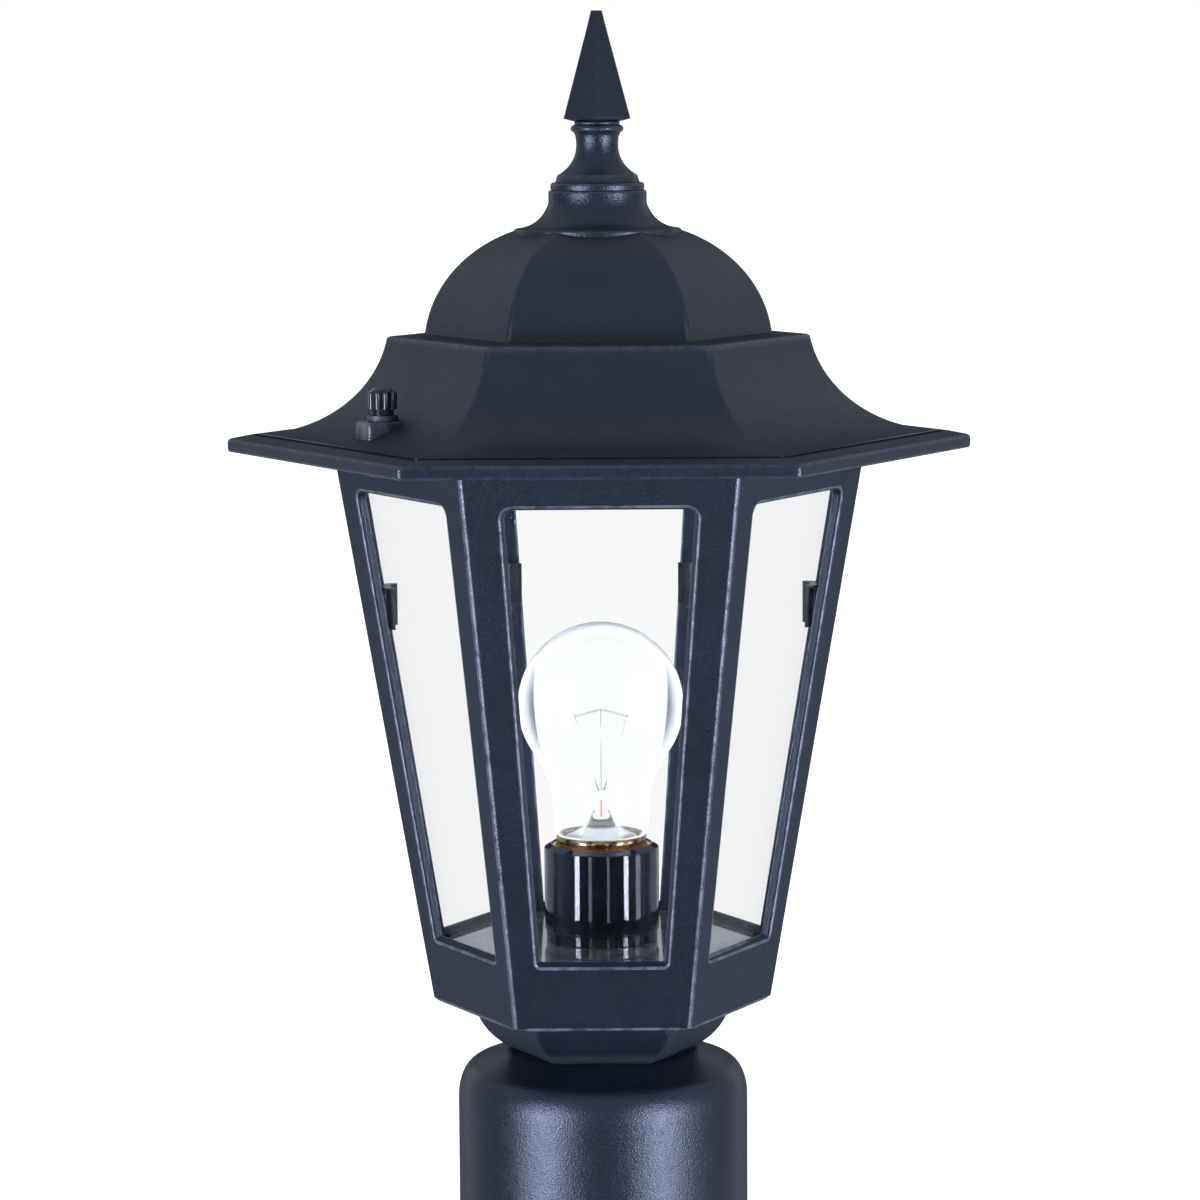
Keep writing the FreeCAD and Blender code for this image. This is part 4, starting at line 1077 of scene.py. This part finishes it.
# ---- roof ----
@dataclass
class Roof:
    """Six-sided roof casting with collar, bosses and seat; heights above the cage's foot."""

    foot_z: float = 90.0
    rim_a: float = 91.9
    rim_low: float = 159.5
    rim_high: float = 163.2
    land_w: float = 5.8
    groove_w: float = 1.7
    groove_depth: float = 1.2
    skirt_low: float = 164.7
    skirt_high: float = 191.7
    skirt_top_a: float = 52.3
    skirt_centre: Point = (84.6, 197.5)
    dome_centre: Point = (8.1, 189.2)
    dome_r: float = 35.0
    dome_base: float = 192.7
    wall: float = 2.6
    corner_r: float = 2.0
    collar: tuple[float, ...] = (23.7, 222.3, 17.5, 225.3, 13.9, 229.6, 233.1)
    boss_in: float = 64.8
    boss_out: float = 75.6
    boss_half: float = 4.8
    boss_top: float = 170.8
    seat_a: float = 66.2
    seat_low: float = 160.2
    seat_top: Point = (166.0, 168.0)
    tongue_a: float = 62.3
    tongue_w: float = 2.3
    tongue_h: float = 3.5

    def skirt(self, grow: float, last_a: float, steps: int) -> list[Point]:
        """The concave skirt from its foot up, a distance inside the outer face."""
        cx, cz = self.skirt_centre
        radius = math.hypot(cx - self.skirt_top_a, cz - self.skirt_high) + grow
        end = 180 + math.degrees(math.asin((cz - self.skirt_high) / radius))
        start = 270 - math.degrees(math.asin((cx - last_a) / radius)) if last_a < cx else 270
        return arc((cx, cz), radius, start, end, steps)

    def section(self) -> list[Point]:
        """From the axis inside, round the rim, to the axis on top."""
        cx, cz = self.skirt_centre
        dome_x, dome_z = self.dome_centre
        inner_r = self.dome_r - self.wall
        groove = self.rim_a - self.land_w
        shelf = self.skirt_high - self.wall
        low = self.rim_a - self.wall
        inner_skirt = self.skirt(self.wall, cx, 16)
        dome_foot = math.degrees(math.asin((self.dome_base - dome_z) / self.dome_r))
        return soften([
            (0, dome_z + inner_r),
            *arc((dome_x, dome_z), inner_r, 90, 1, 20),
            (inner_skirt[-1][0], shelf, 1.0),
            *reversed(inner_skirt),
            (low, self.rim_low + 1.0, 0.8),
            (low, self.rim_low, 0.4),
            (self.rim_a, self.rim_low, 0.8),
            (self.rim_a, self.rim_high, 1.1),
            (groove, self.skirt_low - 0.2, 0.25),
            (groove, self.skirt_low - self.groove_depth, 0.1),
            (groove - self.groove_w, self.skirt_low - self.groove_depth, 0.1),
            (groove - self.groove_w, self.skirt_low, 0.25),
            *self.skirt(0.0, cx, 26),
            (self.skirt_top_a - 0.7, self.skirt_high + 0.45),
            (self.skirt_top_a - 1.4, self.skirt_high + 0.5),
            (dome_x + self.dome_r * math.cos(math.radians(dome_foot)) + 0.1, self.dome_base, 0.5),
            *arc((dome_x, dome_z), self.dome_r, dome_foot + 1.5, 90, 30),
            (0, dome_z + self.dome_r),
        ])

    def seat(self) -> list[Point]:
        """The rib on the cage's rim and the tongue inside it."""
        inner, foot, edge = self.tongue_a - self.tongue_w, self.seat_low - self.tongue_h, 0.3
        return soften([
            (inner, foot, edge),
            (self.tongue_a, foot, edge),
            (self.tongue_a, self.seat_low, edge),
            (self.seat_a, self.seat_low, edge),
            (self.seat_a, self.seat_top[0]),
            (inner, self.seat_top[1]),
        ], closed=True)

    def collar_section(self) -> list[Point]:
        """The round collar that flares on to the dome."""
        foot_r, foot_z, waist_r, waist_z, neck_r, root_z, top = self.collar
        return soften([
            (0, foot_z - 6),
            (foot_r - 3, foot_z - 6),
            (foot_r, foot_z - 2.0, 0.5),
            (foot_r, foot_z - 0.2, 0.45),
            (foot_r - 0.6, foot_z + 0.1),
            *arc_to((foot_r - 0.6, foot_z + 0.1), (neck_r, root_z), 1.9, 14),
            (neck_r, root_z),
            (neck_r, top, 0.6),
            (0, top),
        ])

    def bosses(self) -> Shell:
        """Wedges with a level top under the thumb nuts."""
        out, half = self.boss_out, self.boss_half
        outline = [(self.boss_in, -half), (out - 1, -half), (out, -half + 1), (out, half - 1), (out - 1, half),
                   (self.boss_in, half)]
        return at_fasteners(Shell().block(outline, self.foot_z + self.rim_low + 2, self.foot_z + self.boss_top, 0.7))

    def build(self, shop: Workshop) -> None:
        """Makes and fits the roof."""
        shell = Shell().panel(raised(self.section(), self.foot_z), self.corner_r)
        piece = shop.around(shell, "roof_casting", Finish.CASTING)
        shop.fit(piece, Finish.CASTING, "roof", ["roof"])
        seat = raised(self.seat(), self.foot_z)
        piece = shop.around(Shell().panel([*seat, seat[0]], 0.5), "roof_seat", Finish.CASTING)
        shop.fit(piece, Finish.CASTING, "roof")
        shop.fit(self.bosses().piece("nut_bosses"), Finish.CAGE_CASTING, "roof")
        collar = Shell().turn(raised(self.collar_section(), self.foot_z))
        shop.fit(collar.piece("roof_collar"), Finish.CASTING, "roof")


@dataclass
class Finial:
    """Turned foot and neck under a four-sided spire; heights above the cage's foot."""

    foot_z: float = 90.0
    low: float = 233.1
    foot_r: float = 13.3
    waist_r: float = 6.1
    bead_low: float = 249.4
    bead_h: float = 2.0
    ring_r: float = 6.6
    spire_low: float = 253.3
    spire_high: float = 283.4
    spire_r: float = 9.7
    scallop_h: float = 1.0
    tip_r: float = 1.75
    edge_r: float = 0.7

    def stem(self) -> list[Point]:
        """The turned part."""
        bead = arc((self.waist_r + 0.35, self.bead_low + self.bead_h / 2), self.bead_h / 2, -80, 80, 10)
        return soften([
            (0, self.low),
            (self.foot_r - 0.1, self.low, 0.3),
            (self.foot_r, self.low + 2.0, 0.8),
            (self.foot_r - 1.4, self.low + 2.3, 0.2),
            (self.foot_r - 2.0, self.low + 4.2),
            *arc_to((self.foot_r - 2.0, self.low + 4.2), (self.waist_r, self.bead_low - 1.2), 2.1, 16),
            (self.waist_r, self.bead_low - 1.2),
            *bead,
            (self.ring_r - 0.3, self.bead_low + self.bead_h + 0.2),
            (self.ring_r, self.spire_low - self.scallop_h, 0.2),
            (0, self.spire_low - self.scallop_h),
        ])

    def spire(self) -> Shell:
        """One quarter of the spire, facing +X, with its scalloped underside."""
        rise = self.spire_high - self.spire_low
        section = []
        for t in (0.0, 0.012, 0.024, *(n / 8 for n in range(1, 8)), 0.976, 0.988, 1.0):
            corner = self.spire_r + (self.tip_r - self.spire_r) * t
            section.append((corner * math.cos(math.pi / 4), self.foot_z + self.spire_low + rise * t))
        shell = Shell().panel([*section, (0.0, section[-1][1])], self.edge_r, sides=4)
        edge = shell.points[:len(shell.points) // (len(section) + 1)]
        under = self.foot_z + self.spire_low - self.scallop_h
        for point in edge:
            past_ring = (math.hypot(point.x, point.y) - self.ring_r) / (self.spire_r - self.ring_r)
            point.z = under + self.scallop_h * past_ring
        inner = [p.xy.normalized() * (self.ring_r - 0.5) for p in edge]
        return shell.grid([[Vector((*p, under)) for p in inner], [p.copy() for p in edge]])

    def build(self, shop: Workshop) -> None:
        """Makes and fits the finial."""
        stem = Shell().turn(raised(self.stem(), self.foot_z))
        shop.fit(stem.piece("finial_turning"), Finish.CASTING, "roof", ["finial"])
        piece = shop.around(self.spire(), "finial_spire", Finish.SPIRE_CASTING, 4, math.pi / 4)
        shop.fit(piece, Finish.SPIRE_CASTING, "roof")
        shop.dress(Finish.STEEL, "finial_stud", "finial_washer", "finial_nut")


# ---- fasteners ----
@dataclass
class Fastening:
    """Studs in the cage, sealing washers and thumb nuts on the roof."""

    stud_at: float = 69.0
    stud_r: float = 2.08
    stud_low: float = 245.5
    stud_high: float = 268.0
    stud_depth: float = 0.28
    nut_low: float = 262.5
    waist_h: float = 1.4
    waist_r: float = 3.3
    waist_pitch: float = 0.5
    waist_depth: float = 0.25
    head_h: float = 5.8
    core_r: float = 3.35
    rib_r: float = 0.85
    ribs: int = 9
    pitch: float = 0.794

    def head(self, shop: Workshop, number: int) -> Piece:
        """A nut's fluted black head, ribs round a core, standing on its stud's axis."""
        low = self.nut_low + self.waist_h
        top = low + self.head_h
        rib = Shell().turn(soften([
            (0, low + 0.15), (self.rib_r, low + 0.15, 0.2), (self.rib_r, top - 0.9, 0.5), (0, top - 0.5),
        ]), steps=12)
        out = Shell().merge(rib, Matrix.Translation((self.core_r - 0.1, 0, 0)))
        ribs = shop.around(out, f"thumb_nut_head_{number}", Finish.BLACK_NUT, self.ribs, 0.0)
        core = Shell().turn(soften([
            (0, low), (self.core_r, low, 0.2), (self.core_r, top - 0.7, 0.3), (self.core_r - 0.8, top, 0.5), (0, top),
        ]), steps=48).piece("nut_core")
        joined = bmesh.new()
        joined.from_mesh(ribs.data)
        joined.from_mesh(core.data)
        joined.to_mesh(ribs.data)
        joined.free()
        bpy.data.objects.remove(core)
        place = turned_to(FASTENER_FACES[number - 1], self.stud_at)
        place.translation *= MM
        ribs.data.transform(place)
        return ribs

    def waist(self, number: int) -> Piece:
        """The threaded waist under a nut's head."""
        thread = threaded_rod(self.waist_r, self.nut_low, self.nut_low + self.waist_h + 0.2, self.waist_pitch,
                              self.waist_depth, bore_r=self.stud_r + 0.06)
        place = turned_to(FASTENER_FACES[number - 1], self.stud_at)
        return Shell().merge(thread, place).piece(f"thumb_nut_waist_{number}")

    def build(self, shop: Workshop) -> None:
        """Makes and fits studs, washers and nuts."""
        rod = threaded_rod(self.stud_r, self.stud_low, self.stud_high, self.pitch, self.stud_depth)
        studs = at_fasteners(rod, self.stud_at).piece("stud_threads")
        shop.fit(studs, Finish.STEEL, "base", ["roof_studs"])
        for number in (1, 2):
            shop.fit(self.head(shop, number), Finish.BLACK_NUT, f"nut_{number}", [f"thumb_nut_{number}"])
            shop.fit(self.waist(number), Finish.BLACK_NUT, f"nut_{number}")
            shop.dress(Finish.RUBBER, f"seal_washer_{number}")


# ---- socket and lamp ----
@dataclass
class LampHolder:
    """Moulded socket, its brass shell and the nipple that holds it."""

    low: float = 111.0
    high: float = 136.0
    outer_r: float = 16.5
    wall: float = 2.2
    web: float = 2.0
    chamfer: Point = (1.9, 1.2)
    shell_low: float = 114.6
    thread_r: float = 13.9
    thread_depth: float = 0.6
    thread_pitch: float = 3.63
    shell_wall: float = 0.25
    lip_h: float = 1.6
    nipple_r: float = 5.1
    nipple_bore: float = 3.3
    nipple_span: Point = (62.6, 113.0)
    nipple_pitch: float = 0.94
    nipple_depth: float = 0.35

    def body(self) -> Piece:
        """The moulded body."""
        inner = self.outer_r - self.wall
        return Shell().turn(soften([
            (self.nipple_r, self.low),
            (self.outer_r, self.low, 0.6),
            (self.outer_r, self.high - self.chamfer[1], 0.35),
            (self.outer_r - self.chamfer[0], self.high, 0.2),
            (inner, self.high, 0.15),
            (inner, self.low + self.web),
            (self.nipple_r, self.low + self.web),
        ], closed=True), steps=128, closed=True).piece("socket_moulding")

    def skirt(self, plate_top: float) -> Piece:
        """The dark ring that closes the gap between the socket and the plate."""
        inner, outer, top = self.outer_r - 2.0, self.outer_r - 0.5, self.low + 0.05
        ring = [(inner, plate_top), (outer, plate_top, 0.2), (outer, top, 0.1), (inner, top)]
        return Shell().turn(soften(ring, closed=True), closed=True).piece("socket_skirt")

    def brass(self) -> Piece:
        """The rolled screw shell, open at the top with a flared lip."""
        top = self.high - 0.4
        return rolled_thread(self.thread_r, self.thread_depth, self.shell_low, top - self.lip_h, self.thread_pitch,
                             self.shell_wall, lip=(self.thread_r + self.shell_wall, top)).piece("screw_shell")

    def build(self, shop: Workshop) -> None:
        """Makes and fits the socket and what carries it."""
        shop.fit(self.body(), Finish.BLACK_MOULDING, "base", ["socket_body"])
        plate_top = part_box("floor_plate")[1].z / MM
        shop.fit(self.skirt(plate_top), Finish.BLACK_MOULDING, "base")
        shop.fit(self.brass(), Finish.BRASS, "base", ["socket_screw_shell"])
        tube = threaded_rod(self.nipple_r, *self.nipple_span, self.nipple_pitch, self.nipple_depth,
                            bore_r=self.nipple_bore)
        shop.fit(tube.piece("nipple_thread"), Finish.STEEL, "base", ["nipple"])
        shop.dress(Finish.BLACK_MOULDING, "socket_insulator")
        shop.dress(Finish.BRASS, "socket_centre_contact")
        shop.dress(Finish.STEEL, "lower_lock_washer", "lower_locknut", "upper_locknut")


def rolled_thread(radius: float, depth: float, low: float, high: float, pitch: float, wall: float,
                  lip: Point) -> Shell:
    """A thin tube rolled to a helical thread, with a plain lip on top.

    Args:
        radius: Over the crests, outside.
        depth: Crest to root.
        low: Lower end of the thread.
        high: Upper end of the thread.
        pitch: Rise for each turn.
        wall: Thickness of the sheet.
        lip: Outer radius and height of the upper edge.

    Returns:
        The shell, about the Z axis.
    """
    around = 72
    count = round((high - low) / pitch * 12)

    def sheet(inside: float) -> list[list[Vector]]:
        """Rows up one face of the sheet."""
        rows = []
        for i in range(count + 1):
            z = low + (high - low) * i / count
            fade = max(0.0, min(1.0, (z - low) / pitch, (high - z) / pitch))
            row = circle(1.0, z, around)
            for j, point in enumerate(row):
                swell = 0.5 + 0.5 * math.cos(math.tau * (z / pitch - j / around))
                point.xy *= radius - inside - depth * (1 - swell * fade)
            rows.append(row)
        under_lip = (lip[0] - 0.15, high + 0.4 * (lip[1] - high))
        return rows + [circle(r - inside, z, around) for r, z in (under_lip, lip)]

    return Shell().grid([*sheet(0.0), *reversed(sheet(wall))], around=True, along=True)


@dataclass
class Lamp:
    """Clear screw-in lamp."""

    radius: float = 23.75
    top: float = 200.0
    neck_r: float = 13.7
    neck_turn: float = 35.0
    wall: float = 0.7
    base_top: float = 138.6
    base_low: float = 121.4
    base_r: float = 13.0
    base_depth: float = 0.55
    base_wall: float = 0.6
    pitch: float = 3.63
    stem_top: float = 151.5
    stem_r: float = 2.6
    lead_top: float = 172.4
    lead_spread: float = 7.3
    lead_r: float = 0.17
    support_r: float = 0.09
    seal_r: float = 0.24
    filament_rise: float = 2.0
    filament_turns: int = 44
    filament_r: float = 0.3
    filament_wire_r: float = 0.05

    def profile(self, inset: float) -> list[Point]:
        """The envelope's section from its foot to its crown, a distance inside the outer face."""
        centre = self.top - self.radius
        turn = math.radians(self.neck_turn)
        waist = (self.radius * math.cos(turn), centre - self.radius * math.sin(turn))
        sweep = (waist[0] - self.neck_r) / (1 - math.cos(turn))
        neck_z = waist[1] - sweep * math.sin(turn)
        foot = self.base_top + 0.2
        points = [(self.neck_r - 0.8 - inset, foot), (self.neck_r - 0.2 - inset, foot + 0.7),
                  (self.neck_r - inset, foot + 1.8)]
        points += arc((self.neck_r + sweep, neck_z), sweep + inset, 180, 180 - self.neck_turn, 14)
        points += arc((0.0, centre), self.radius - inset, -self.neck_turn, 90, 36)[1:]
        return points

    def envelope(self) -> Piece:
        """The clear bulb, a thin closed wall."""
        outer, inner = self.profile(0.0), self.profile(self.wall)
        return Shell().turn([*outer, *reversed(inner)]).turn([inner[0], outer[0]]).piece("lamp_envelope")

    def stem(self) -> Piece:
        """Flared glass mount with its pinch."""
        foot, pinch = self.base_top - 1.0, self.base_top + 6.5
        shell = Shell().turn(soften([
            (0, foot), (11.2, foot, 0.2), (9.0, foot + 0.9, 2.0), (4.4, foot + 3.4, 2.5), (self.stem_r, pinch, 1.5),
            (self.stem_r * 0.75, self.stem_top - 2.0, 1.0), (1.3, self.stem_top, 0.6), (0, self.stem_top),
        ]), steps=64)
        for point in shell.points:
            if point.z > pinch:
                point.y *= 0.6
        return shell.piece("lamp_mount")

    def wires(self) -> list[Vector]:
        """Corner points of a lead, from the stem to its hook."""
        return [Vector((out, 0, z)) for out, z in (
            (0.7, self.stem_top - 0.4), (1.8, self.stem_top + 3.0), (5.4, self.lead_top - 7.5),
            (self.lead_spread, self.lead_top), (self.lead_spread + 0.5, self.lead_top + 0.7))]

    def build(self, shop: Workshop) -> None:
        """Makes and fits the lamp."""
        shop.fit(self.envelope(), Finish.LAMP_GLASS, "lamp", ["lamp_glass"])
        shell = rolled_thread(self.base_r, self.base_depth, self.base_low, self.base_top - 2.4, self.pitch,
                              self.base_wall, lip=(self.base_r, self.base_top))
        shop.fit(shell.piece("lamp_base_thread"), Finish.LAMP_SHELL, "lamp", ["lamp_base"])
        shop.fit(self.stem(), Finish.LAMP_GLASS, "lamp", ["lamp_stem"])
        tube = Shell()
        for sign in (1, -1):
            tube.merge(round_wire(self.wires(), self.lead_r), Matrix.Diagonal((sign, 1, 1, 1)))
        support = [Vector((0, 0, self.stem_top - 0.4)), Vector((0, 0.3, self.lead_top - 4)),
                   Vector((0, 0, self.lead_top + self.filament_rise + 0.2))]
        tube.merge(round_wire(support, self.support_r))
        shop.fit(tube.piece("lamp_lead_wires"), Finish.WIRE, "lamp", ["lamp_leads"])
        seal = round_wire([Vector((0, 0, self.stem_top - 8.0)), Vector((0, 0, self.stem_top - 3.0))], self.seal_r)
        shop.fit(seal.piece("lead_seal"), Finish.LEAD_GLASS, "lamp")
        shop.fit(self.filament(), Finish.WIRE, "lamp", ["lamp_filament"])
        shop.dress(Finish.BLACK_GLASS, "lamp_insulator")
        shop.dress(Finish.SOLDER, "lamp_tip")

    def filament(self) -> Piece:
        """The coiled filament over its support."""
        points = []
        steps = self.filament_turns * 8
        for t in (n / steps for n in range(steps + 1)):
            x = -self.lead_spread + 2 * self.lead_spread * t
            z = self.lead_top + 0.4 + self.filament_rise * (1 - abs(2 * t - 1))
            spin = math.tau * self.filament_turns * t
            points.append(Vector((x, self.filament_r * math.cos(spin), z + self.filament_r * math.sin(spin))))
        return round_wire(points, self.filament_wire_r, around=5).piece("lamp_coil")


def round_wire(points: Sequence[Vector], radius: float, around: int = 12) -> Shell:
    """A round wire through points, closed at its ends.

    Args:
        points: The wire's centre line.
        radius: Its radius.
        around: Stretches round the wire.

    Returns:
        The shell.
    """
    rows = []
    turns = [math.tau * j / around for j in range(around)]
    for n, point in enumerate(points):
        ahead = (points[min(n + 1, len(points) - 1)] - points[max(n - 1, 0)]).normalized()
        side = ahead.cross(Vector((0, 1, 0))).normalized()
        over = side.cross(ahead)
        rows.append([point + (side * math.cos(t) + over * math.sin(t)) * radius for t in turns])
    return Shell().grid([[points[0]] * around, *rows, [points[-1]] * around], around=True)


# ---- studio ----
@dataclass
class Studio:
    """Pale floor, white surroundings, soft boxes and strips in front and the camera."""

    camera_far: float = 1.161
    camera_z: float = 0.3503
    camera_down: float = 7.07
    camera_roll: float = -0.36
    lens: float = 122.6
    sensor: float = 36.0
    boxes: tuple[tuple[float, float, float], ...] = (
        (-46.5, 0.34, 22.5), (-24.0, 0.16, 1.6), (13.0, 0.1, 1.6), (46.0, 0.34, 22.5), (78.0, 0.22, 2.4))
    box_far: float = 1.1
    box_span: Point = (-0.36, 0.36)
    box_tint: tuple[float, float, float] = (0.85, 0.89, 1.0)
    front_level: float = 0.03
    side_from: Point = (-0.15, 0.35)
    side_level: float = 0.48
    top_from: Point = (0.05, 0.45)
    top_level: float = 0.66
    top_back_from: Point = (0.35, 0.8)
    top_back_level: float = 0.3
    sheet_from: Point = (0.7, 0.9)
    sheet_to: Point = (0.25, 0.33)
    back_level: float = 0.95
    room_tint: tuple[float, float, float] = (0.84, 0.89, 1.0)
    floor_half: float = 12.0
    floor_albedo: float = 0.8
    floor_glow: float = 0.9

    def camera(self) -> None:
        """Sets the camera where the photograph was taken from."""
        data = bpy.data.cameras.new("camera")
        data.sensor_width = self.sensor
        data.lens = self.lens
        item = stand("camera", data)
        tilt = Matrix.Rotation(math.radians(90 - self.camera_down), 4, "X")
        roll = Matrix.Rotation(math.radians(self.camera_roll), 4, "Z")
        item.matrix_world = Matrix.Translation((0, -self.camera_far, self.camera_z)) @ tilt @ roll
        bpy.context.scene.camera = item

    def soft_boxes(self) -> None:
        """Upright soft boxes and strips, each by its azimuth, width and radiance; they reach below the floor."""
        low, high = self.box_span
        for turn, wide, radiance in self.boxes:
            data = bpy.data.lights.new("soft_box", "AREA")
            data.shape = "RECTANGLE"
            data.size, data.size_y = wide, high - low
            data.energy = radiance * 4 * wide * (high - low)
            data.color = self.box_tint
            item = stand("soft_box", data)
            angle = math.radians(turn)
            item.location = (self.box_far * math.sin(angle), -self.box_far * math.cos(angle), (low + high) / 2)
            inward = Vector((-item.location.x, -item.location.y, 0))
            item.rotation_euler = inward.to_track_quat("-Z", "Y").to_euler()
            item.visible_camera = False

    def seen_straight(self, tree: Tree) -> Socket:
        """1 for a ray that comes from the eye with nothing but glass on its way."""
        path = tree.add("ShaderNodeLightPath")
        bounces = tree.math("ADD", path.outputs["Glossy Depth"], path.outputs["Diffuse Depth"])
        clean = tree.math("LESS_THAN", bounces, 0.5)
        through = tree.math("MULTIPLY", path.outputs["Is Transmission Ray"], clean)
        return tree.math("MAXIMUM", path.outputs["Is Camera Ray"], through)

    def world(self) -> None:
        """White to the eye and through glass; for the rest bright behind the lantern and dim in front."""
        world = bpy.data.worlds.new("studio")
        bpy.context.scene.world = world
        world.use_nodes = True
        tree = Tree.of(world.node_tree)
        where = tree.add("ShaderNodeTexCoord")
        split = tree.feed(tree.add("ShaderNodeSeparateXYZ"), Vector=where.outputs["Generated"])
        back, up = split.outputs["Y"], split.outputs["Z"]
        level = tree.ramp(back, *self.side_from, self.front_level, self.side_level)
        above = tree.ramp(up, *self.top_from, 0.0, 1.0)
        top = tree.ramp(back, *self.top_back_from, self.top_level, self.top_back_level)
        level = tree.math("ADD", tree.math("MULTIPLY", level, tree.math("SUBTRACT", 1.0, above)),
                          tree.math("MULTIPLY", above, top))
        sheet = tree.math("MULTIPLY", tree.ramp(back, *self.sheet_from, 0.0, self.back_level),
                          tree.ramp(up, *self.sheet_to, 1.0, 0.0))
        seen = self.seen_straight(tree)
        level = tree.math("MAXIMUM", tree.math("MAXIMUM", level, sheet), seen)
        tint = tree.blend(seen, rgba(self.room_tint), rgba((1.0, 1.0, 1.0)))
        shade = tree.feed(tree.add("ShaderNodeBackground"), Color=tint, Strength=level)
        output = tree.add("ShaderNodeOutputWorld")
        tree.links.new(shade.outputs[0], output.inputs["Surface"])

    def floor(self) -> None:
        """A pale floor that keeps the shadow, runs out to white and lets reflections and light past it."""
        half = self.floor_half
        corners = [(-half, -half, 0), (half, -half, 0), (half, half, 0), (-half, half, 0)]
        mesh = bpy.data.meshes.new("floor")
        mesh.from_pydata(corners, [], [(0, 1, 2, 3)])
        tree = Tree("floor")
        base = tree.feed(tree.add("ShaderNodeBsdfDiffuse"), Color=rgba([self.floor_albedo] * 3))
        glow = tree.feed(tree.add("ShaderNodeEmission"),
                         Strength=tree.math("MULTIPLY", self.seen_straight(tree), self.floor_glow))
        total = tree.add("ShaderNodeAddShader")
        tree.links.new(base.outputs[0], total.inputs[0])
        tree.links.new(glow.outputs[0], total.inputs[1])
        path = tree.add("ShaderNodeLightPath")
        past = tree.math("MAXIMUM", path.outputs["Is Glossy Ray"], path.outputs["Is Shadow Ray"])
        open_way = tree.add("ShaderNodeBsdfTransparent")
        mesh.materials.append(tree.show(tree.mix(past, total.outputs[0], open_way.outputs[0])))
        stand("floor", mesh)

    def build(self) -> None:
        """Sets the whole studio."""
        self.camera()
        self.soft_boxes()
        self.world()
        self.floor()
        bpy.context.scene.view_settings.view_transform = "Standard"


def main() -> None:
    """Builds every sub-assembly in order."""
    logging.basicConfig(level=logging.INFO, format="%(message)s")
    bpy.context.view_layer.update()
    shop = Workshop()
    for part in (Sleeve(), Cage(), Roof(), Finial(), Fastening(), LampHolder(), Lamp()):
        part.build(shop)
        LOG.info("%s done", type(part).__name__)
    Studio().build()
    LOG.info("%d new pieces", shop.new_pieces)


if __name__ == "__main__":
    main()
